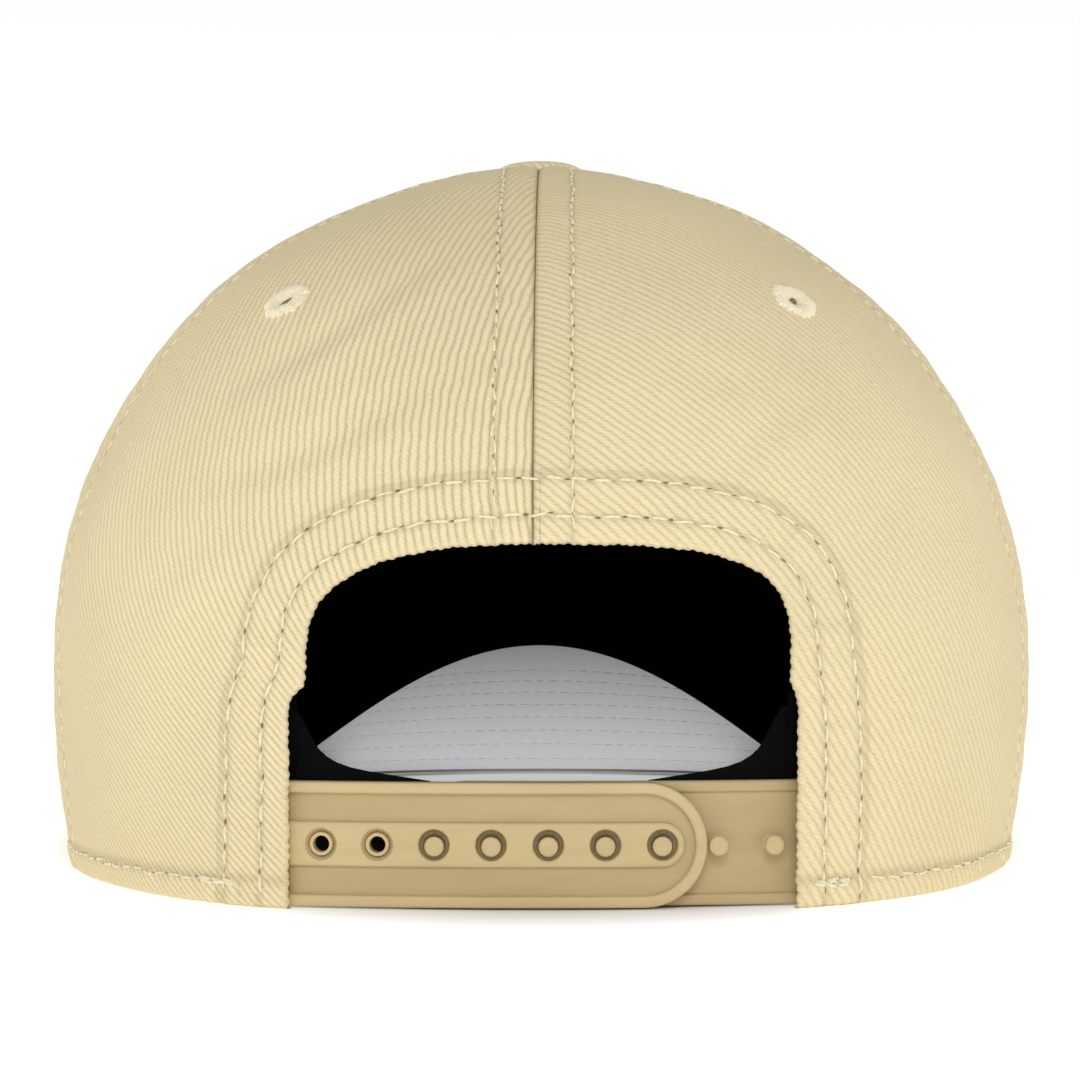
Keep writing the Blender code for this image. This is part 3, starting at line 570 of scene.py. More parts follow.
def groove_shades(azimuth, points, distance, hemmed):
    """How much the cloth's colour is darkened, as painted shade, in the grooves of seams and stitch
    rows, from 0 to 1.
    """
    reach = np.hypot(points[..., 0], points[..., 1])
    away = np.stack([np.abs(wrap(azimuth - seam)) for seam in SEAMS]).min(0) * reach
    total = 0.9 * bell(away, 0, 0.45 * MM) + 0.45 * bell(away, row_offset(reach), 0.6 * MM)
    for row in ARCH_ROWS:
        total = np.maximum(total, 0.5 * bell(distance, row, 0.62 * MM))
    total = np.maximum(total, 0.35 * bell(distance, ARCH_ROWS[1] + 1.1 * MM, 1.0 * MM))
    if hemmed:
        total = np.maximum(total, 0.45 * bell(points[..., 2], HEM_ROW + 0.7 * MM, 0.8 * MM))
    return total


def hem_round(height, thick):
    """How far both faces of the cloth draw in towards each other at the hem's lower edge."""
    radius = 0.47 * thick
    short = np.clip(radius - height, 0, radius)
    return radius - np.sqrt(radius**2 - short**2)


# Creases in the rear panels: both ends in X and Z, depth and width, in millimetres
CREASES = (((-17, 107), (-41, 92), 0.55, 3.2), ((-22, 83), (-50, 70), 0.6, 3.4),
           ((-33, 97), (-52, 84), 0.3, 3.0), ((-50, 63), (-66, 50), 0.35, 3.6),
           ((44, 82), (30, 70), 0.4, 3.4), ((60, 72), (50, 52), 0.35, 4.0),
           ((20, 92), (36, 84), 0.25, 3.5), ((-57, 33), (-47, 22), 0.3, 2.6),
           ((58, 36), (50, 24), 0.3, 2.6))


def creases(x, y, z):
    """Soft folds pulled from the arch and from the eyelets."""
    total = 0 * x
    for (x0, z0), (x1, z1), depth, width in CREASES:
        run = np.array([x1 - x0, z1 - z0], float)
        share = ((x - x0) * run[0] + (z - z0) * run[1]) / (run @ run)
        off = ((z - z0) * run[0] - (x - x0) * run[1]) / np.hypot(*run)
        off = off + 0.9 * np.sin(3.1 * share + x0)
        along = smooth(-0.35, 0.25, share) * (1 - smooth(0.75, 1.35, share))
        total = total + depth * along * (0.6 * bell(off, 1.1 * width, width) - bell(off, 0, width))
    return total * (y < 0)


def sag(points):
    """Slow unevenness of the whole crown."""
    x, y, z = np.moveaxis(points / MM, -1, 0)
    broad = np.sin(x / 11.0 + z / 17.0 + 0.7) * np.sin(y / 15.0 - z / 23.0 + 1.9)
    narrow = np.sin(x / 7.3 - z / 9.1) * np.sin(y / 9.7 + 0.4)
    return (creases(x, y, z) + 0.30 * broad + 0.22 * narrow) * MM


def relief(azimuth, level, points, hemmed, arched):
    """Total height of the cloth over the crown's surface, in metres."""
    reach = np.hypot(points[..., 0], points[..., 1])
    gaps = np.stack([np.abs(wrap(azimuth - seam)) for seam in SEAMS])
    away = gaps.min(0) * reach
    walked = DOME_RISE * 1.58 * (1 - level)
    total = seam_relief(away, reach, walked) + sag(points)
    if hemmed:
        total = total + hem_relief(points[..., 2], azimuth * 0.09)
    if arched:
        flat = points.reshape(-1, 3)
        distance, along = arch_distance(flat)
        total = total + arch_relief(distance, along).reshape(total.shape)
    return total


# --- Cloth coordinates ---


class Pattern:
    """The flat pattern of a panel: turns azimuths and levels into cloth millimetres."""

    def __init__(self, middle, contrast=1.0, gain=1.0, leans=((0, TWILL_LEAN),), pitch=1.0):
        self.middle, self.contrast, self.gain = middle, contrast, gain
        self.levels = np.linspace(0, 1, 400)
        line = outer_point(middle, self.levels)
        self.down = walk(line[::-1])[::-1]
        self.reach = np.hypot(line[:, 0], line[:, 1])
        self.draw = np.clip(np.gradient(self.reach, self.down), 0.03, 1.0)
        heights, degrees = np.array(leans, float).T
        lean = np.tan(np.radians(np.interp(line[:, 2] / MM, heights, degrees)))
        steps = 0.5 * (lean[1:] + lean[:-1]) * -np.diff(self.down)
        self.slide = np.append(0, np.cumsum(steps))
        self.slide -= self.slide[-1]
        self.scale = math.cos(math.radians(degrees[-1])) / pitch

    def cloth(self, azimuth, level):
        down = np.interp(level, self.levels, self.down)
        reach = np.interp(level, self.levels, self.reach)
        draw = np.interp(level, self.levels, self.draw) * self.gain
        width = wrap(azimuth - self.middle) * 0.5 * (reach + reach_of(azimuth, level))
        radius = reach / draw
        turn = width / radius
        u, v = radius * np.sin(turn), -down + radius * (1 - np.cos(turn))
        slide = np.interp(v, -self.down, self.slide)
        across = (u + slide) * self.scale
        # The twill's contrast, of its bump and its painted groove shade, is full low down beside the
        # rear seam and halves towards the sides and top, where the twill is lit and seen at a slant
        near = bell(wrap(azimuth - REAR_SEAM), 0, 0.75)
        contrast_fade = 0.5 + 0.5 * near * (1 - smooth(0.45, 0.85, level))
        return np.stack([across / MM, v / MM, self.contrast * contrast_fade], -1)


def flat_cloth(points, cos, sin):
    """Cloth coordinates of nearly level cloth, its ridges turned away from the Y axis."""
    across, along = points @ (cos, sin, 0) / MM, points @ (-sin, cos, 0) / MM
    return np.stack([across, along, np.full(len(points), 0.7)], -1)


# How far the ridges of the left rear panel lean, in degrees, by height in millimetres: its cloth was
# pulled askew when the arch was sewn
LEFT_LEANS = ((0, 46), (30, 45), (45, 38), (60, 19), (72, 13), (90, 10), (131, 10))

# Twill contrast of each panel, for its bump and its painted groove shade: lowest on the right rear
# panel, whose ridges show less under the light
PATTERNS = {
    ("rear", -1): Pattern(PI - math.radians(-56.5), 0.85, 1.0, LEFT_LEANS, 1.03),
    ("rear", 1): Pattern(math.radians(-56.5), 0.6),
    ("side", -1): Pattern(PI - math.radians(5.5), 0.8),
    ("side", 1): Pattern(math.radians(5.5), 0.8),
    ("front", -1): Pattern(PI - math.radians(62.0), 0.85),
    ("front", 1): Pattern(math.radians(62.0), 0.85),
}


# --- Mesh helpers ---


def show(name, data):
    """Puts a mesh, a lamp or a camera in the scene."""
    obj = bpy.data.objects.new(name, data)
    bpy.context.scene.collection.objects.link(obj)
    return obj


def make(name, vertices, faces, materials, indices=None, cloth=None, groove_shade=None):
    """A mesh object with each face's material, and its cloth coordinates and painted groove shade."""
    mesh = bpy.data.meshes.new(name)
    mesh.from_pydata(np.asarray(vertices).reshape(-1, 3).tolist(), [], faces)
    for item in materials:
        mesh.materials.append(item)
    if indices is not None:
        mesh.polygons.foreach_set("material_index", np.asarray(indices, np.int32))
    if cloth is not None:
        store = mesh.attributes.new("cloth", "FLOAT_VECTOR", "POINT")
        store.data.foreach_set("vector", np.asarray(cloth, np.float32).ravel())
    if groove_shade is not None:
        store = mesh.attributes.new("groove_shade", "FLOAT", "POINT")
        store.data.foreach_set("value", np.asarray(groove_shade, np.float32).ravel())
    mesh.shade_smooth()
    mesh.update()
    return show(name, mesh)


def grid_index(columns, rows, closed=1):
    """Vertex numbers of a grid of points, and those of the next vertices round its closed axis."""
    index = np.arange(columns * rows).reshape(columns, rows)
    return index, np.roll(index, -1, closed)


def tube_faces(sections, sides, flip=False):
    """Faces of a tube, given as rings of points one after another, and of its two ends."""
    index, after = grid_index(sections, sides)
    quads = np.stack([index[:-1], after[:-1], after[1:], index[1:]], -1).reshape(-1, 4)
    faces = quads.tolist() + [index[0, ::-1].tolist(), index[-1].tolist()]
    return [face[::-1] for face in faces] if flip else faces


def shell_faces(columns, rows, keep=None):
    """Quads of a closed shell between two point grids, and which quads lie on the inner one."""
    keep = np.ones((columns - 1, rows - 1), bool) if keep is None else keep
    index = np.arange(columns * rows).reshape(columns, rows)
    under = index + columns * rows
    a, b, c, d = index[:-1, :-1], index[1:, :-1], index[1:, 1:], index[:-1, 1:]
    outer = np.stack([a, b, c, d], -1)[keep]
    inner = outer[:, ::-1] + columns * rows
    padded = np.pad(keep, 1)
    before, after = padded[:-1, 1:-1], padded[1:, 1:-1]
    upright = np.stack([index[:, :-1], index[:, 1:], under[:, 1:], under[:, :-1]], -1)
    below, above = padded[1:-1, :-1], padded[1:-1, 1:]
    level = np.stack([index[:-1], under[:-1], under[1:], index[1:]], -1)
    walls = [upright[after & ~before], upright[before & ~after][:, ::-1],
             level[above & ~below], level[below & ~above][:, ::-1]]
    faces = np.concatenate([outer, inner, *walls])
    kinds = np.concatenate([np.zeros(len(outer)), np.ones(len(inner)),
                            np.zeros(sum(len(w) for w in walls))])
    return faces, kinds


def tidy(vertices, faces, stores):
    """Drops the vertices that no face uses, and their values."""
    used, place = np.unique(faces, return_inverse=True)
    return vertices[used], place.reshape(faces.shape), [store[used] for store in stores]


def piece(obj, body, slot, *replaced):
    """Puts a piece on a body in place of CAD nodes, which it hides. Its slot is not used."""
    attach(obj, body)
    if replaced:
        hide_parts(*replaced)
    return obj


# --- Crown panels ---

NEAR_SEAM = np.array([0.03, 0.12, 0.25, 0.42, 0.65, 0.95, 1.3, 1.75]) * MM
KEPT_WIDTH = 9.4 * MM           # columns this near a seam keep their distance from it
FRONT_LIFT = 2.9 * MM           # front panels start this high above the visor's underside


def half_columns(width):
    """Distances from a seam to the middle of a panel, close together near the seam."""
    near = np.arange(2.2 * MM, KEPT_WIDTH, 0.45 * MM)
    far = np.linspace(KEPT_WIDTH, width, int((width - KEPT_WIDTH) / (1.05 * MM)))
    return np.concatenate([NEAR_SEAM, near, far])


def column_azimuths(start, end, level, nominal, width):
    """Azimuths of columns beside both seams, parallel to their seam until the panel gets narrow."""
    found = []
    for seam, sign in ((start, 1), (end, -1)):
        reach = reach_of(seam, level)
        half = 0.5 * (end - start) * reach
        kept = np.minimum(KEPT_WIDTH, 0.6 * half)
        near = nominal * kept / KEPT_WIDTH
        far = kept + (nominal - KEPT_WIDTH) * (half - kept) / (width - KEPT_WIDTH)
        found.append(seam + sign * np.where(nominal < KEPT_WIDTH, near, far) / reach)
    return found


def hem_rows():
    """Levels of a panel's rows from the hem to the button, close together near the hem."""
    low = np.array([0, 0.08, 0.2, 0.36, 0.56, 0.85, 1.2]) * MM
    wall = np.concatenate([low, np.arange(1.6 * MM, 8 * MM, 0.42 * MM),
                           np.arange(8.4 * MM, WIDEST_HEIGHT, 1.1 * MM)])
    return np.concatenate([level_at(wall), np.arange(WALL_SHARE + 0.003, TOP_LEVEL, 0.0062),
                           [TOP_LEVEL]])


def visor_seam_height(azimuth):
    """Height of the visor's underside where it meets the crown."""
    across = (FRONT_SEAM - azimuth) / (FRONT_SEAM - FRONT_SIDE_SEAM)
    return VISOR_PEAK * np.clip(1 - across**2, 0, None) ** VISOR_SEAM_POWER


def panel_seams(part, side):
    """Azimuths of a panel's two seams, the lower one first."""
    start, end = {"rear": (REAR_SEAM, REAR_SIDE_SEAM), "side": (REAR_SIDE_SEAM, FRONT_SIDE_SEAM),
                  "front": (FRONT_SIDE_SEAM, FRONT_SEAM)}[part]
    if side > 0:
        return start, end
    return PI - end, 2 * PI + REAR_SEAM if part == "rear" else PI - start


def front_levels(line):
    """Levels of a front panel's rows from the visor's seam up, for columns at these azimuths."""
    corner = FRONT_SEAM - FRONT_SIDE_SEAM - np.abs(line - FRONT_SEAM)
    lift = FRONT_LIFT * smooth(0.75 * VISOR_CORNER_GAP, 1.1 * VISOR_CORNER_GAP, corner)
    foot = level_at(visor_seam_height(line) + lift)[:, None]
    return foot + (TOP_LEVEL - foot) * hem_rows() / TOP_LEVEL


def panel_grid(part, side):
    """Azimuths and levels of a panel's vertices, column by column."""
    start, end = panel_seams(part, side)
    width = 0.5 * (end - start) * HALF_WIDTH
    nominal = half_columns(width)
    share = np.concatenate([0.5 * nominal / width, 1 - 0.5 * nominal[-2::-1] / width])
    level = np.tile(hem_rows(), (len(share), 1))
    if part == "front":
        level = front_levels(start + (end - start) * share)
    columns = np.concatenate([nominal, nominal[-2::-1]])[:, None]
    left, right = column_azimuths(start, end, level, columns, width)
    return np.where(np.arange(len(share))[:, None] < len(nominal), left, right), level


def panel_shell(part, azimuth, level):
    """Points of the crown's surface, and of a panel's outer and inner faces there."""
    points, normals = crown_row(azimuth, level)
    height = relief(azimuth, level, points, part != "front", part == "rear")
    turned_up = 1 - smooth(5 * MM, 9 * MM, points[..., 2])
    thick = CLOTH_THICK + (HEM_THICK - CLOTH_THICK) * turned_up
    tuck = hem_round(points[..., 2], HEM_THICK)
    if part == "front":
        thick = CLOTH_THICK
        climbed = np.linalg.norm(points - points[:, :1], axis=-1)
        tuck = 0.8 * MM * (1 - smooth(0, 1.4 * MM, climbed))
    outer = points + normals * (height - tuck)[..., None]
    inner = points + normals * (np.minimum(height, INNER_RELIEF) - thick + tuck)[..., None]
    return points, outer, inner


def eyelet_azimuth(part, side):
    """Azimuth of a panel's eyelet."""
    turn = math.radians(EYELETS[part])
    return turn if side > 0 else PI - turn


def panel(part, side):
    """A crown panel as a closed shell, with its eyelet hole and its share of the rear opening."""
    azimuth, level = panel_grid(part, side)
    points, outer, inner = panel_shell(part, azimuth, level)
    centres = 0.25 * (points[:-1, :-1] + points[1:, :-1] + points[1:, 1:] + points[:-1, 1:])
    hole = outer_point(eyelet_azimuth(part, side), level_at(EYELET_HEIGHT))
    keep = np.linalg.norm(centres - hole, axis=-1) > EYELET_HOLE
    distance = np.ones(level.size)
    if part == "rear":
        distance, _ = arch_distance(points.reshape(-1, 3))
        from_arch, _ = arch_distance(centres.reshape(-1, 3))
        keep &= (from_arch > STRIP_WIDTH - 4 * MM).reshape(keep.shape)
    cloth = PATTERNS[part, side].cloth(azimuth, level).reshape(-1, 3)
    groove_shade = groove_shades(azimuth, points, distance.reshape(level.shape), part != "front").ravel()
    shell = [np.concatenate([outer, inner]).reshape(-1, 3), np.concatenate([cloth, cloth]),
             np.concatenate([groove_shade, 0 * groove_shade])]
    faces, kinds = shell_faces(*level.shape, keep)
    if part == "rear":
        quads, *edge = opening_edge(side)
        faces = np.concatenate([faces, quads + len(shell[0])])
        kinds = np.append(kinds, np.zeros(len(quads)))
        shell = [np.concatenate(both) for both in zip(shell, edge)]
    vertices, faces, (cloth, groove_shade) = tidy(shell[0], faces, shell[1:])
    node = f"{part}_panel_{'left' if side < 0 else 'right'}"
    obj = make(node + "_cloth", vertices, faces.tolist(), [TWILL, LINING], kinds, cloth, groove_shade)
    return piece(obj, "crown", "twill", node)


def edge_profile():
    """The opening's band, from its outer face over the rolled edge to the face turned in: how far
    out from the opening and how deep each row lies, and whether it can be seen from outside."""
    flat = np.arange(STRIP_WIDTH, 0.9 * MM, -0.42 * MM)
    roll = np.linspace(0, PI, 9)
    inside = np.arange(1.4 * MM, 11.5 * MM, 0.8 * MM)
    radius = 0.5 * EDGE_THICK
    distance = np.concatenate([flat, radius * (1 - np.sin(roll)), inside])
    depth = np.concatenate([0 * flat, radius * (1 - np.cos(roll)), 0 * inside + EDGE_THICK])
    return distance, depth, np.arange(len(distance)) < len(flat) + 5


def opening_edge(side):
    """The band round half of the rear opening: its quads, points, cloth and painted groove shade."""
    distance, depth, outside = edge_profile()
    spacing = np.concatenate([NEAR_SEAM, np.arange(2.2 * MM, 0.2, 0.42 * MM)])
    walked, x, z = arch_place(side, spacing, distance, 0.13 * MM)
    level = level_at(z)
    azimuth = rear_azimuth(x, level)
    points, normals = crown_row(azimuth, level)
    height = relief(azimuth, level, points, True, False)
    height = height + arch_relief(np.broadcast_to(distance, x.shape), side * walked[:, None])
    bumps = 0.09 * MM * np.sin(2 * PI * walked / (1.45 * MM) + 0.6 * np.sin(walked / (3 * MM)))
    lift = 0.06 * MM * (1 - 3.4 * smooth(STRIP_WIDTH - 1.6 * MM, STRIP_WIDTH, distance))
    bumpy = bell(distance, 0, 1.2 * MM) * bumps[:, None]
    tuck = hem_round(z, EDGE_THICK + 0.3 * MM)
    face = height + lift + bumpy - tuck
    back = np.minimum(height, INNER_RELIEF) + tuck + 0.5 * bumpy
    place = points + normals * (np.where(outside, face, back) - depth)[..., None]
    index, after = grid_index(*x.shape)
    quads = np.stack([index[:-1], after[:-1], after[1:], index[1:]], -1).reshape(-1, 4)
    if side < 0:
        quads = quads[:, ::-1]
    cloth = np.where((azimuth < REAR_SEAM)[..., None], PATTERNS["rear", -1].cloth(azimuth, level),
                     PATTERNS["rear", 1].cloth(azimuth, level))
    cloth[..., 2] *= 1 - 0.55 * bell(distance, 0, 1.1 * MM)
    groove_shade = groove_shades(azimuth, points, np.broadcast_to(distance, x.shape), True)
    groove_shade = np.where(outside, groove_shade, 0.0).ravel()
    return quads, place.reshape(-1, 3), cloth.reshape(-1, 3), groove_shade


# --- Sewing ---

STATIONS = np.linspace(-1, 1, 7)                        # rings of a stitch, from end to end
AROUND = np.linspace(0, 2 * PI, 7)[:-1, None]           # points round each ring and needle hole


def search_tree(objects):
    """Surface of some pieces, for finding points on it."""
    points, faces = [], []
    for obj in objects:
        first = len(points)
        points += [vert.co.copy() for vert in obj.data.vertices]
        faces += [[first + i for i in face.vertices] for face in obj.data.polygons]
    return BVHTree.FromPolygons(points, faces)


def dropped(tree, points, normals):
    """Points dropped onto the cloth from outside it."""
    found = points.copy()
    for k, (point, normal) in enumerate(zip(points, normals)):
        start = Vector(point + normal * 4 * MM)
        hit = tree.ray_cast(start, -Vector(normal), 8 * MM)[0]
        if hit is not None:
            found[k] = hit
    return found


def stitch_tubes(place, normal, side, radius, proud):
    """Thread along the middle line of each stitch, thinner and sunk into the cloth at its ends."""
    middle = place.copy()
    middle[:, 1:-1] = 0.25 * place[:, :-2] + 0.5 * place[:, 1:-1] + 0.25 * place[:, 2:]
    ends = np.abs(STATIONS) ** 4
    girth = radius * np.sqrt(1 - 0.9 * ends) * RANDOM.normal(1, 0.08, (len(place), 1))
    middle += normal * (radius * (proud - 1.35 * ends))[:, None]
    ring = np.cos(AROUND) * side[:, :, None] + np.sin(AROUND) * normal[:, :, None]
    points = middle[:, :, None] + ring * girth[:, :, None, None]
    index = np.arange(points.size // 3).reshape(points.shape[:3])
    after = np.roll(index, -1, 2)
    quads = np.stack([index[:, :-1], after[:, :-1], after[:, 1:], index[:, 1:]], -1)
    caps = np.concatenate([index[:, 0], index[:, -1, ::-1]])
    return points.reshape(-1, 3), quads.reshape(-1, 4)[:, ::-1].tolist() + caps.tolist()


def needle_holes(place, normal, side, run, gap, radius):
    """A dark oval on the cloth in the gap after each stitch: painted shade of its needle hole."""
    spot = place[:, -1] + run[:, 0] * gap + normal[:, -1] * 0.045 * MM
    wide = 0.7 * radius * np.clip(RANDOM.normal(0.8, 0.4, (len(place), 1, 1)), 0.1, 1.5)
    return (spot[:, None] + np.cos(AROUND) * side[:, :1] * wide
            + np.sin(AROUND) * run * (0.85 * gap + 0.4 * radius))


def sew(name, path, normals, pitch, tree, looks, share=0.76, radius=THREAD_RADIUS, shift=0.0,
        wander=0.17 * MM, pits=True, proud=0.55):
    """A row of stitches along a path, each a bowed length of thread that dives into the cloth.
    Share is a stitch's part of the pitch, and proud its height over the cloth, in radii."""
    walked = walk(path)
    count = int((walked[-1] - shift) / pitch)
    middle = shift + pitch * (np.arange(count) + 0.5) + RANDOM.normal(0, 0.05 * pitch, count)
    length = 0.5 * share * pitch * RANDOM.normal(1, 0.07, count)
    along = middle[:, None] + length[:, None] * STATIONS
    place, normal = (np.stack([np.interp(along, walked, line[:, k]) for k in range(3)], -1)
                     for line in (path, normals))
    normal = unit(normal)
    run = unit(place[:, -1:] - place[:, :1])
    side = np.cross(normal, run)
    slant = wander * np.clip(RANDOM.normal(0, 1, (count, 2)), -1.3, 1.3)
    place = place + side * (slant[:, :1] + slant[:, 1:] * STATIONS)[..., None]
    place = dropped(tree, place.reshape(-1, 3), normal.reshape(-1, 3)).reshape(place.shape)
    points, faces = stitch_tubes(place, normal, side, radius, proud)
    holes = needle_holes(place, normal, side, run, 0.5 * (1 - share) * pitch, radius)
    kinds = [0] * len(faces)
    # Dark ovals of painted shade at the needle holes
    if pits:
        kinds += [1] * count
        faces += (len(points) + np.arange(holes.size // 3)).reshape(count, -1).tolist()
        points = np.concatenate([points, holes.reshape(-1, 3)])
    return piece(make(name, points, faces, looks, kinds), "crown", "thread")


def seam_path(seam, side):
    """Path of the topstitching beside a seam, from the hem, arch or visor up to the button."""
    levels = np.linspace(0.004, 0.955, 900)
    reach = reach_of(seam, levels)
    azimuth = seam + side * row_offset(reach) / reach
    height = section(levels)[0]
    foot = 0.8 * MM
    if seam == REAR_SEAM:
        foot = SPRING_HEIGHT + ARCH_RISE + 1.6 * MM
    if seam == FRONT_SEAM:
        foot = VISOR_PEAK + 4.5 * MM
    if seam in (FRONT_SIDE_SEAM, PI - FRONT_SIDE_SEAM):
        foot = 3.0 * MM
    return crown_row(azimuth[height > foot], levels[height > foot])


def arch_path(distance):
    """Path of a row of stitches that follows the opening from its left end to its right."""
    halves = []
    for side in (-1, 1):
        _, x, z = arch_place(side, np.arange(0, 0.2, 0.4 * MM), np.array([distance]))
        inside = z[:, 0] > 1.2 * MM
        level = level_at(z[inside, 0])
        halves.append(crown_row(rear_azimuth(x[inside, 0], level), level))
    (left, left_normal), (right, right_normal) = halves
    return (np.concatenate([left[::-1], right[1:]]),
            np.concatenate([left_normal[::-1], right_normal[1:]]))


def hem_path(side, start_gap, end_azimuth, height=HEM_ROW):
    """Path along the hem from a gap beside the opening round to an azimuth on the same side."""
    level = float(level_at(height))
    start = float(rear_azimuth(np.array(side * (SLOT[side] + start_gap)), level))
    if side < 0:
        start, end_azimuth = start + 2 * PI, PI - end_azimuth
    return crown_row(np.linspace(start, end_azimuth, 700), np.full(700, level))


def hem_sewing(side, label, tree, looks):
    """The stitches along the hem, and three rows of tacking over each other beside the opening."""
    path, normals = hem_path(side, 12.5 * MM, FRONT_SIDE_SEAM - 0.02)
    sew(f"hem_stitches_{label}", path, normals, HEM_PITCH, tree, looks, radius=0.23 * MM)
    for k in range(3):
        height = HEM_ROW + 0.28 * MM * (k - 1)
        path, normals = hem_path(side, TACK_START[side], FRONT_SIDE_SEAM, height)
        near = walk(path) < TACK_LENGTH
        sew(f"hem_tack_{label}_{k}", path[near], normals[near], 2.3 * MM, tree, looks,
            share=1.02, radius=0.33 * MM, shift=0.35 * MM * k)


def crown_sewing(tree):
    """All the topstitching of the crown. The rear side seams' stitches lie sunk in their seams."""
    looks = [THREAD, PIT]
    names = {REAR_SEAM: "rear", REAR_SIDE_SEAM: "rear_right", FRONT_SIDE_SEAM: "front_right",
             FRONT_SEAM: "front", PI - FRONT_SIDE_SEAM: "front_left",
             PI - REAR_SIDE_SEAM: "rear_left"}
    for seam, label in names.items():
        for side, end in ((-1, "a"), (1, "b")):
            path, normals = seam_path(seam, side)
            sunk = label in ("rear_left", "rear_right")
            sew(f"seam_stitches_{label}_{end}", path, normals, SEAM_PITCH, tree, looks,
                radius=0.22 * MM, pits=not sunk, proud=0.0 if sunk else 0.55)
    for distance, label in zip(ARCH_ROWS, ("inner", "outer")):
        path, normals = arch_path(distance)
        sew(f"arch_stitches_{label}", path, normals, ARCH_PITCH, tree, looks, shift=0.6 * MM)
    hem_sewing(-1, "left", tree, looks)
    hem_sewing(1, "right", tree, looks)


# --- Eyelets and button ---

EYELET_STRANDS = 46

# An eyelet's section: share of the way from slot to rim, height in millimetres, depth of its strands
EYELET_PROFILE = ((0.0, -2.0, 0), (0.0, -0.6, 0), (0.03, -0.1, 0.3), (0.1, 0.2, 0.6),
                  (0.22, 0.45, 1), (0.36, 0.68, 1), (0.52, 0.8, 1), (0.68, 0.78, 1),
                  (0.82, 0.6, 1), (0.93, 0.34, 0.9), (0.99, 0.05, 0.6), (1.0, -0.35, 0),
                  (0.9, -0.6, 0), (0.42, -0.9, 0), (0.4, -2.0, 0))


def eyelet_outline(turn):
    """Radii of the slot and of the ragged rim all the way round, and how the strands stand out."""
    first, second, third = RANDOM.uniform(0, 2 * PI, 3)
    ragged = (0.16 * np.sin(5 * turn + first) + 0.13 * np.sin(9 * turn + second)
              + 0.16 * np.sin(17 * turn + third)) * MM
    strand = np.abs(np.sin(0.5 * EYELET_STRANDS * turn + 0.5 * np.sin(3 * turn + first))) ** 0.8
    tilted = turn - math.radians(52)
    hole = 1 / np.hypot(np.cos(tilted) / (1.15 * MM), np.sin(tilted) / (0.62 * MM))
    return hole, EYELET_RADIUS + ragged + 0.2 * MM * strand, strand


def eyelet(node, azimuth):
    """An embroidered ring: strands of thread wrapped over its rim into a narrow slot."""
    centre, normal = crown_row(azimuth, float(level_at(EYELET_HEIGHT)))
    right = np.array([-math.sin(azimuth), math.cos(azimuth), 0.0])
    up = np.cross(normal, right)
    turn = np.linspace(0, 2 * PI, 265)[:-1]
    hole, rim, strand = eyelet_outline(turn)
    share, high, ribbed = np.array(EYELET_PROFILE).T
    radius = hole[:, None] + (rim - hole)[:, None] * share
    height = high * MM + 0.11 * MM * ribbed * (strand[:, None] - 0.6)
    way = np.cos(turn)[:, None] * right + np.sin(turn)[:, None] * up
    grid = centre + radius[..., None] * way[:, None] + height[..., None] * normal
    index, after = grid_index(*radius.shape, closed=0)
    quads = np.stack([index, after, np.roll(after, -1, 1), np.roll(index, -1, 1)], -1)
    faces = quads.reshape(-1, 4).tolist()
    # A dark plug of painted shade just under the slot, where the slot's shade falls
    slot = centre - 0.05 * MM * normal + (grid[:, 1] - grid[:, 1].mean(0)) * 1.01
    plug = (index.size + np.arange(len(turn))).tolist()
    obj = make(node + "_thread", np.concatenate([grid.reshape(-1, 3), slot]), [*faces, plug],
               [THREAD, PIT], [0] * len(faces) + [1])
    return piece(obj, "crown", "thread", node)


def button():
    """The cloth-covered button: a low dome with its cloth gathered under the rim."""
    radius, seat, rise = 8.7 * MM, APEX - 0.9 * MM, 3.0 * MM
    turn = np.linspace(0, 2 * PI, 145)[:-1]
    climb = np.concatenate([[-0.35, -0.2], np.linspace(0, 0.5 * PI, 26)[:-1]])
    reach = radius * np.cos(np.clip(climb, 0, None)) ** 0.62 * (1 + 0.3 * np.minimum(climb, 0))
    height = seat + rise * np.sin(np.clip(climb, 0, None)) ** 0.8 + 2.2 * MM * np.minimum(climb, 0)
    gather = 0.09 * MM * np.sin(19 * turn + 1.3 * np.sin(3 * turn))[:, None] * bell(climb, 0, 0.5)
    wide = reach[None] + gather
    grid = np.stack([wide * np.cos(turn)[:, None], wide * np.sin(turn)[:, None],
                     np.broadcast_to(height, wide.shape)], -1)
    index, after = grid_index(*wide.shape, closed=0)
    quads = np.stack([index[:, :-1], after[:, :-1], after[:, 1:], index[:, 1:]], -1)
    points = np.concatenate([grid.reshape(-1, 3), [[0, 0, seat + rise]]])
    top = np.stack([index[:, -1], after[:, -1], np.full(len(turn), index.size)], -1)
    faces = quads.reshape(-1, 4).tolist() + top.tolist() + [index[::-1, 0].tolist()]
    obj = make("top_button_cloth", points, faces, [TWILL],
               cloth=flat_cloth(points, 0.82, 0.57))
    return piece(obj, "crown", "twill", "top_button")


# --- Visor ---


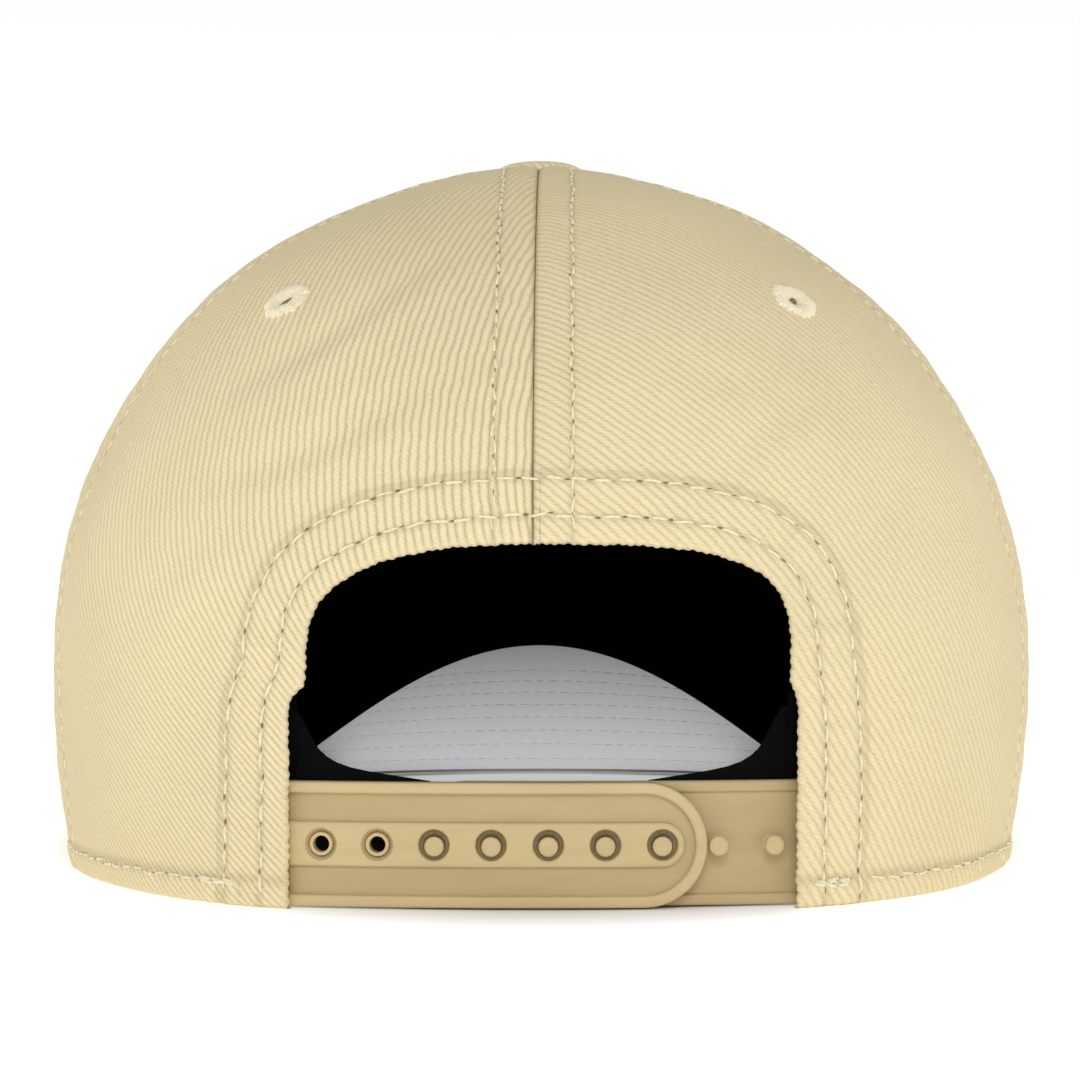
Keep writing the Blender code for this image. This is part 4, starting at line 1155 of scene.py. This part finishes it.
def visor_middle(u, v):
    """The visor's middle layer: u runs from the right corner to the left, v out to the edge."""
    u, v = np.broadcast_arrays(u, v)
    across = 2 * u - 1
    half_span = FRONT_SEAM - FRONT_SIDE_SEAM - VISOR_CORNER_GAP
    azimuth = FRONT_SEAM + half_span * across
    level = level_at(visor_seam_height(azimuth) + VISOR_MID)
    root = crown_inside(azimuth, level, VISOR_INSET)
    corner = crown_inside(FRONT_SIDE_SEAM + VISOR_CORNER_GAP, level_at(VISOR_MID), VISOR_INSET)
    lowest = math.atan2(corner[1] - VISOR_CENTRE, corner[0])
    turn = lowest + (0.5 * PI - lowest) * (1 - np.abs(across))
    tuck = 1 - VISOR_CORNER_TUCK * np.exp(-(turn - lowest) / VISOR_TUCK_TURN)
    wide = (np.abs(np.cos(turn)) / VISOR_HALF_WIDTH) ** VISOR_PLAN_POWER
    deep = (np.abs(np.sin(turn)) / (VISOR_TIP - VISOR_CENTRE)) ** VISOR_PLAN_POWER
    reach = tuck * (wide + deep) ** (-1 / VISOR_PLAN_POWER)
    side = np.where(across < 0, 1, -1)
    tip = np.stack([side * reach * np.cos(turn), VISOR_CENTRE + reach * np.sin(turn),
                    np.full(turn.shape, VISOR_EDGE_HEIGHT)], -1)
    bow = 4 * v * (1 - v) * VISOR_CROWN * (1 - across**2)
    place = root + (tip - root) * v[..., None]
    place[..., 2] += bow
    return place


def visor_frame(u, v):
    """The middle layer, the way up from it and the way out towards the edge."""
    place, small = visor_middle(u, v), 1e-3
    outward = visor_middle(u, v + small) - visor_middle(u, v - small)
    around = visor_middle(np.clip(u + small, 0, 1), v) - visor_middle(np.clip(u - small, 0, 1), v)
    up = unit(np.cross(outward, around))
    return place, np.where(up[..., 2:] < 0, -up, up), unit(outward)


def visor_sections():
    """Closed sections of the covers from corner to corner, each over the top, round the edge and
    back below, and the number of points across the top and round the edge."""
    u = 0.5 - 0.5 * np.cos(np.linspace(0.06, PI - 0.06, 260))
    u = (u - u[0]) / (u[-1] - u[0])
    v = 1 - np.concatenate([np.linspace(0, 0.1, 16) ** 1.1, np.linspace(0.1, 1, 84)[1:]])
    place, up, out = visor_frame(u[:, None], v[None])
    away = (1 - v) * np.linalg.norm(place[:, :1] - place[:, -1:], axis=-1)
    rows = VISOR_FIRST_ROW + VISOR_ROW_GAP * np.arange(VISOR_ROWS)
    dip = sum(bell(away, row, 0.7 * MM) for row in rows) * 0.14 * MM
    puff = 0.05 * MM * np.sin(2 * PI * (away - VISOR_FIRST_ROW) / VISOR_ROW_GAP - 0.5 * PI)
    half = VISOR_HALF_THICK - 0.12 * MM * bell(away, 0, 1.6 * MM)
    top = place + up * (half - dip + puff)[..., None]
    below = place - up * (half - 0.6 * dip)[..., None]
    turns = np.linspace(0, PI, 9)[1:-1]
    way = up[:, :1] * np.cos(turns)[:, None] + out[:, :1] * np.sin(turns)[:, None] * 0.8
    edge = place[:, :1] + way * (VISOR_HALF_THICK - 0.12 * MM)
    return np.concatenate([top[:, ::-1], edge, below], 1), len(v), len(turns)


def visor_covers():
    """Both covers of the visor in one wrapped shell: khaki above and round the edge, grey below."""
    ring, across, edge = visor_sections()
    index, after = grid_index(*ring.shape[:2])
    quads = np.stack([index[:-1], index[1:], after[1:], after[:-1]], -1)
    grey = np.arange(ring.shape[1]) >= across + edge - 2
    kinds = np.broadcast_to(grey, quads.shape[:2]).astype(int)
    ends = []
    for line, way in ((index[0].tolist(), -1), (index[-1].tolist(), 1)):
        ends += [[line[k], line[k + 1], line[-2 - k], line[-1 - k]][::way]
                 for k in range(across - 1)]
        ends.append(line[across - 1:across + edge + 1][::way])
    points = ring.reshape(-1, 3)
    faces = quads.reshape(-1, 4)[:, ::-1].tolist() + ends
    lean = math.radians(TWILL_LEAN)
    obj = make("visor_covers_cloth", points, faces, [TWILL, UNDERVISOR],
               np.append(kinds.ravel(), np.zeros(len(ends))),
               flat_cloth(points, math.cos(lean), math.sin(lean)))
    return piece(obj, "crown", "twill", "visor_top_cover", "visor_under_cover")


def visor_sewing(tree):
    """Rows of stitches at even distances from the visor's edge, above and below."""
    u = np.linspace(0.004, 0.996, 900)
    span = np.linalg.norm(visor_middle(u, np.ones(900)) - visor_middle(u, np.zeros(900)), axis=-1)
    for k in range(VISOR_ROWS):
        away = VISOR_FIRST_ROW + VISOR_ROW_GAP * k
        share = 1 - away / span
        inside = share * span > 1.5 * MM
        place, up, _ = visor_frame(u[inside], share[inside])
        for label, way, looks in (("top", 1, [THREAD, PIT]), ("under", -1, [UNDERVISOR])):
            path = place + up * way * VISOR_HALF_THICK
            sew(f"visor_stitches_{label}_{k}", path, up * way, 3.1 * MM, tree, looks,
                radius=(0.2 if way > 0 else 0.06) * MM, wander=0.05 * MM, pits=way > 0)


# --- Sweatband ---


def band_section(tall, roll):
    """Heights and inward offsets round a band's closed section, its two edges rounded."""
    turns = np.linspace(-0.5 * PI, 0.5 * PI, 7)
    back = turns[::-1]
    rise = np.linspace(roll, tall - roll, 34)
    height = np.concatenate([rise, tall - roll + roll * np.cos(back)[1:-1], rise[::-1],
                             roll - roll * np.cos(turns)[1:-1]])
    inward = np.concatenate([0 * rise + roll, roll * np.sin(back)[1:-1], 0 * rise - roll,
                             roll * np.sin(turns)[1:-1]])
    return height, inward


def lining_band(node, foot, gap, depth, tall, roll):
    """A black band inside the hem with rounded edges, stitched near its top edge. Over the visor
    its foot covers the visor's seam."""
    level = float(level_at(10.3 * MM))

    def end(side):
        edge = rear_azimuth(np.array(side * (SLOT[side] + gap)), level)
        place = crown_inside(edge, level, depth)
        return math.atan2(place[1], place[0])

    azimuth = np.linspace(end(1), end(-1) + 2 * PI, 420)
    over_visor = (azimuth > FRONT_SIDE_SEAM) & (azimuth < PI - FRONT_SIDE_SEAM)
    seam = VISOR_PEAK * (visor_seam_height(azimuth) / VISOR_PEAK) ** 1.55
    low = np.where(over_visor, np.maximum(foot, seam + foot - 0.8 * MM), foot)[:, None]
    height, inward = band_section(tall, roll)
    azimuth = azimuth[:, None]
    ripple = 0.25 * MM * np.sin(azimuth * 31 + 2 * np.sin(azimuth * 7))
    ripple = ripple * smooth(0.3, 1.0, height / tall)
    row = -0.2 * MM * bell(height, tall - 3 * MM, 0.6 * MM) * np.sign(inward)
    place = crown_inside(azimuth, level_at(low + height), (depth + inward + row + ripple)[..., None])
    obj = make(node + "_cloth", place, tube_faces(*place.shape[:2]), [LINING])
    return piece(obj, "crown", "lining", node)


# --- Snap strap ---


def pill_path(flat_end, centre, half, steps=22):
    """Outline of a strap in X and height: open at its flat end, half a circle at the other."""
    way = 1 if centre > flat_end else -1
    turns = np.linspace(0.5 * PI, -0.5 * PI, steps)
    run = np.linspace(flat_end, centre, 48)
    x = np.concatenate([run[:-1], centre + way * half * np.cos(turns), run[::-1][1:]])
    z = np.concatenate([0 * run[:-1] + half, half * np.sin(turns), 0 * run[1:] - half])
    return np.stack([x, z], -1)


def rim_section(front, thick):
    """Insets and depths round the raised rim's section: a bar with four rounded corners."""
    large, small = 0.5 * MM, 0.25 * MM
    back = front + thick - small
    turns = np.linspace(0, 0.5 * PI, 5)
    corners = ((large, front + large, large, PI + turns),
               (RIM_WIDTH - large, front + large, large, 1.5 * PI + turns),
               (RIM_WIDTH - small, back, small, turns[::2]),
               (small, back, small, 0.5 * PI + turns[::2]))
    return np.concatenate([np.stack([inset + radius * np.cos(turn), depth + radius * np.sin(turn)],
                                    -1) for inset, depth, radius, turn in corners])


def swept_rim(flat_end, centre, front, thick):
    """The raised rim: a rounded bar that follows the strap's outline."""
    section_points = rim_section(front, thick)
    outline = np.stack([pill_path(flat_end, centre, STRAP_HALF - inset)
                        for inset in section_points[:, 0]], 1)
    depth = np.broadcast_to(section_points[:, 1], outline.shape[:2])
    points = np.stack([outline[..., 0], depth, outline[..., 1]], -1)
    return points.reshape(-1, 3), tube_faces(*depth.shape, centre < flat_end)


def slab(flat_end, centre, half, steps):
    """A pill-shaped plate, from pairs of inset and depth given from its back edge to its front."""
    rings = [np.insert(pill_path(flat_end, centre, half - inset), 1, depth, axis=1)
             for inset, depth in steps]
    return np.concatenate(rings), tube_faces(len(rings), len(rings[0]), centre < flat_end)


def turned_shape(centre, profile, sides=40, lower=0.0):
    """A solid of revolution about a snap's axis, from pairs of radius and depth in millimetres,
    front first."""
    turns = np.linspace(0, 2 * PI, sides + 1)[:-1]
    points = [(centre + radius * MM * math.cos(turn), depth * MM,
               radius * MM * math.sin(turn) - lower) for radius, depth in profile for turn in turns]
    return points, [[face[0], *face[:0:-1]] for face in tube_faces(len(profile), sides)]


def cut(points, faces, cutters):
    """Cuts solids of revolution out of a plate and returns the result's mesh."""
    base = make("plate", points, faces, [])
    joined, quads = [], []
    for more, rings in cutters:
        quads += [[len(joined) + i for i in face] for face in rings]
        joined += more
    tool = make("cutters", joined, quads, [])
    step = base.modifiers.new("cut", "BOOLEAN")
    step.operation, step.object, step.solver = "DIFFERENCE", tool, "EXACT"
    seen = base.evaluated_get(bpy.context.evaluated_depsgraph_get())
    mesh = bpy.data.meshes.new_from_object(seen)
    for obj in (base, tool):
        bpy.data.objects.remove(obj, do_unlink=True)
    return mesh


def rolled(shape, x_low, x_high, face):
    """Cuts the flat strap across every 2 mm, bends it to its plan radius and keeps its sewn end,
    whose outer face is this deep, behind the rear panel."""
    for where in np.arange(x_low, x_high, 2 * MM):
        bmesh.ops.bisect_plane(shape, geom=[*shape.verts, *shape.edges, *shape.faces],
                               plane_co=(where, 0, 0), plane_no=(1, 0, 0), dist=1e-6)
    for vert in shape.verts:
        x, depth, height = vert.co
        radius = STRAP_BEND - depth
        bent = (radius * math.sin(x / STRAP_BEND),
                STRAP_CENTRE_Y + STRAP_BEND - radius * math.cos(x / STRAP_BEND))
        side = 1 if x > 0 else -1
        sewn = abs(x) - SLOT[side] + 0.4 * MM
        if sewn > 0:
            level = level_at(STRAP_MIDDLE + height)
            wall = outer_point(rear_azimuth(np.array(bent[0]), level), level)[1] + 1.75 * MM
            front = STRAP_CENTRE_Y + STRAP_BEND - math.sqrt(STRAP_BEND**2 - bent[0] ** 2) + face
            bent = bent[0], bent[1] + max(0.0, wall - front) * min(1.0, sewn / (1.2 * MM))
        vert.co = (*bent, STRAP_MIDDLE + height)


def plain_mesh(points, faces):
    """A mesh with no material, to be joined to a strap."""
    mesh = bpy.data.meshes.new("plain")
    mesh.from_pydata([tuple(map(float, point)) for point in points], [], faces)
    return mesh


def bent_piece(name, shape, looks, ends, face, replaced=()):
    """Bends a flat shape like its strap, keeping its sewn end behind the rear panel, puts it in the
    scene and hides the CAD nodes it replaces.
    """
    rolled(shape, *ends, face)
    bmesh.ops.triangulate(shape, faces=[f for f in shape.faces if len(f.verts) > 4])
    mesh = bpy.data.meshes.new(name)
    shape.to_mesh(mesh)
    shape.free()
    for look in looks:
        mesh.materials.append(look)
    obj = show(name, mesh)
    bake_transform(obj)
    if replaced:
        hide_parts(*replaced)
    return mesh


def strap_piece(name, parts, ends, face, replaced):
    """A strap from its web and other parts. The web and the floor of its band's recesses look rougher
    than the rest, and are darker, as painted shade in the recesses."""
    shape = bmesh.new()
    for number, part in enumerate(parts):
        mesh = plain_mesh(*part) if isinstance(part, tuple) else part
        known = len(shape.faces)
        shape.from_mesh(mesh)
        shape.faces.ensure_lookup_table()
        for added in shape.faces[known:]:
            # The whole web and the band's deep faces take the darker recess material: painted shade
            deep = number == 1 and added.calc_center_median().y > 0.6 * MM
            added.material_index = 1 if number == 0 or deep else 0
        bpy.data.meshes.remove(mesh)
    mesh = bent_piece(name, shape, [STRAP, STRAP_RECESS_SHADE], ends, face,
                      replaced)
    mesh.shade_smooth()
    mesh.set_sharp_from_angle(angle=math.radians(32))


# Upper edge of the left tail, in X and Z, in millimetres
TAIL_TOP = ((-45.5, 33.0), (-40.6, 32.4), (-38.8, 29.6), (-37.7, 27.4), (-36.6, 25.6),
            (-35.3, 24.4), (-33.6, 23.4), (-31.2, 22.6), (-28.2, 22.0), (-25.0, 21.5),
            (-21.5, 21.0), (-18.0, 20.5))


def band_tails():
    """The tapered black ends of the sweatband, sewn behind the two straps."""
    for side, depth, face, body, label in ((-1, 2.5, 0.0, "female_strap", "left"),
                                           (1, 4.4, MALE_FRONT, "male_strap", "right")):
        top = [(side * -x * MM, z * MM - STRAP_MIDDLE) for x, z in TAIL_TOP]
        outline = top + [(x, -9.0 * MM) for x, _ in reversed(top)]
        points = [(x, (depth + extra) * MM, z) for extra in (0.0, 0.6) for x, z in outline]
        shape = bmesh.new()
        shape.from_mesh(plain_mesh(points, tube_faces(2, len(outline), side < 0)))
        bent_piece(f"sweatband_tail_{label}", shape, [LINING], (-46 * MM, 46 * MM), face)


# Snap holes and pegs as turned shapes: radius and depth from the strap's outer face, in millimetres
ENGAGED_BORE = ((3.0, -0.5), (2.75, 0.12), (2.52, 0.42), (2.45, 1.2), (1.9, 1.24), (1.32, 1.7),
                (1.25, 2.8))
FREE_BORE = ((3.0, -0.5), (2.75, 0.12), (2.6, 0.3), (2.0, 1.15), (1.85, 0.5), (1.35, 0.55),
             (1.25, 2.8))
PEG = ((0.8, 0.3), (1.3, 0.36), (1.54, 0.52), (1.62, 0.8), (1.58, 1.1), (1.2, 1.35),
       (1.15, 1.6), (1.2, 2.85), (1.5, 3.1), (2.0, 3.25))


def female_strap():
    """The holed strap on top: a thin web, a raised band with dished snap holes, and a rim."""
    far, web_front = -SLOT[-1] - STRAP_TUCK, FEMALE_THICK - FEMALE_WEB
    web = slab(far, FEMALE_END, STRAP_HALF - WEB_INSET,
               [(0, FEMALE_THICK - 0.1 * MM), (0, web_front)])
    band_steps = [(0, FEMALE_THICK - 0.3 * MM), (0, 0.75 * MM), (0.08 * MM, 0.5 * MM),
                  (0.25 * MM, 0.32 * MM), (0.5 * MM, 0.22 * MM), (0.8 * MM, 0.2 * MM)]
    band = slab(far, LAST_HOLE, BAND_HALF_HEIGHT, band_steps)
    cutters = [turned_shape(LAST_HOLE - HOLE_PITCH * k,
                            ENGAGED_BORE if k < ENGAGED_HOLES else FREE_BORE)
               for k in range(HOLE_COUNT)]
    parts = [cut(*web, cutters), cut(*band, cutters),
             swept_rim(far, FEMALE_END, 0.0, FEMALE_THICK)]
    strap_piece("strap_female_moulding", parts, (far + MM, 29 * MM), 0.0,
                ("strap_female", "strap_female_tab"))


def male_strap():
    """The pegged strap behind: a thin web and a rim, with seven pegs, of which two stay free."""
    far, back = SLOT[1] + STRAP_TUCK, MALE_FRONT + MALE_THICK
    web = slab(far, MALE_END, STRAP_HALF - WEB_INSET, [(0, back - 0.1 * MM), (0, back - MALE_WEB)])
    pegs = [turned_shape(LAST_HOLE + HOLE_PITCH * k, PEG, 32, PEG_DROP) for k in range(-4, 3)]
    rim = swept_rim(far, MALE_END, MALE_FRONT, MALE_THICK)
    strap_piece("strap_male_moulding", [web, rim, *pegs], (-22 * MM, far - MM), MALE_FRONT,
                ("strap_male", "strap_male_tab"))


# --- Assembly ---


def assemble():
    """Every piece of the cap, in the order in which their threads draw random numbers."""
    cloths = [panel(part, side) for part in ("rear", "side", "front") for side in (-1, 1)]
    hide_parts("arch_facing")
    crown_sewing(search_tree(cloths))
    for part in EYELETS:
        eyelet(f"eyelet_{part}_right", eyelet_azimuth(part, 1))
        eyelet(f"eyelet_{part}_left", eyelet_azimuth(part, -1))
    button()
    visor_sewing(search_tree([visor_covers()]))
    lining_band("sweatband", 0.8 * MM, 1.2 * MM, 6.1 * MM, 34.0 * MM, 0.6 * MM)
    lining_band("sweatband_core", 4.8 * MM, 9.0 * MM, 4.7 * MM, 26.0 * MM, 0.45 * MM)
    female_strap()
    band_tails()
    male_strap()


def finish_kept_nodes():
    """Gives every CAD node that still shows the material of its slot."""
    looks = {"twill": TWILL, "lining": LINING, "undervisor": UNDERVISOR, "board": BOARD,
             "thread": THREAD, "strap": STRAP}
    for entry in frame["record"]["subparts"]:
        node = frame["nodes"][entry["node"]]
        node.data.materials.clear()
        node.data.materials.append(looks[entry["material_slot"]])


# --- Studio ---


def sky():
    """A pale studio all round: white low down, greyer overhead."""
    world = bpy.data.worlds.new("studio_world")
    bpy.context.scene.world = world
    world.use_nodes = True
    tree = world.node_tree
    back = tree.nodes["Background"]
    up = tree.nodes.new("ShaderNodeSeparateXYZ")
    coordinates = tree.nodes.new("ShaderNodeTexCoord")
    ramp = tree.nodes.new("ShaderNodeValToRGB")
    tree.links.new(coordinates.outputs["Generated"], up.inputs[0])
    tree.links.new(up.outputs[2], ramp.inputs[0])
    tree.links.new(ramp.outputs[0], back.inputs[0])
    stops = ((0.18, (1.0, 1.0, 1.0, 1.0)), (0.8, (0.29, 0.29, 0.3, 1.0)))
    for stop, (position, colour) in zip(ramp.color_ramp.elements, stops):
        stop.position, stop.color = position, colour
    back.inputs["Strength"].default_value = 1.0


def area(name, place, target, size, power):
    """A square or oblong lamp that faces a target."""
    lamp = bpy.data.lights.new(name, "AREA")
    lamp.shape, lamp.size, lamp.size_y, lamp.energy = "RECTANGLE", *size, power
    obj = show(name, lamp)
    obj.location = place
    way = Vector(target) - Vector(place)
    obj.rotation_euler = way.to_track_quat("-Z", "Y").to_euler()
    return obj


def studio():
    """Floor, sky, lamps and camera of the photograph."""
    floor = make("studio_floor", [(-4, -4, 0), (4, -4, 0), (4, 4, 0), (-4, 4, 0)], [(0, 1, 2, 3)],
                 [studio_floor()])
    sky()
    area("key_light", (0.04, -1.35, 1.0), (0, -0.05, 0.06), (0.6, 0.6), 7.0)
    area("front_light", (0.2, 1.5, 0.4), (0, 0.08, 0.05), (0.6, 0.6), 3.0)
    under = area("visor_fill", (0.0, 0.127, 0.0012), (0.0, 0.127, 1.0), (0.1, 0.07), 0.016)
    under.visible_camera = False
    camera = bpy.data.cameras.new("camera")
    camera.lens, camera.sensor_width = 89.6, 36.0
    eye = show("camera", camera)
    eye.location = (0.0, -0.527, 0.0595)
    eye.rotation_euler = (0.5 * PI, 0.0, 0.0)
    bpy.context.scene.camera = eye
    bpy.context.scene.view_settings.view_transform = "Standard"


assemble()
finish_kept_nodes()
studio()
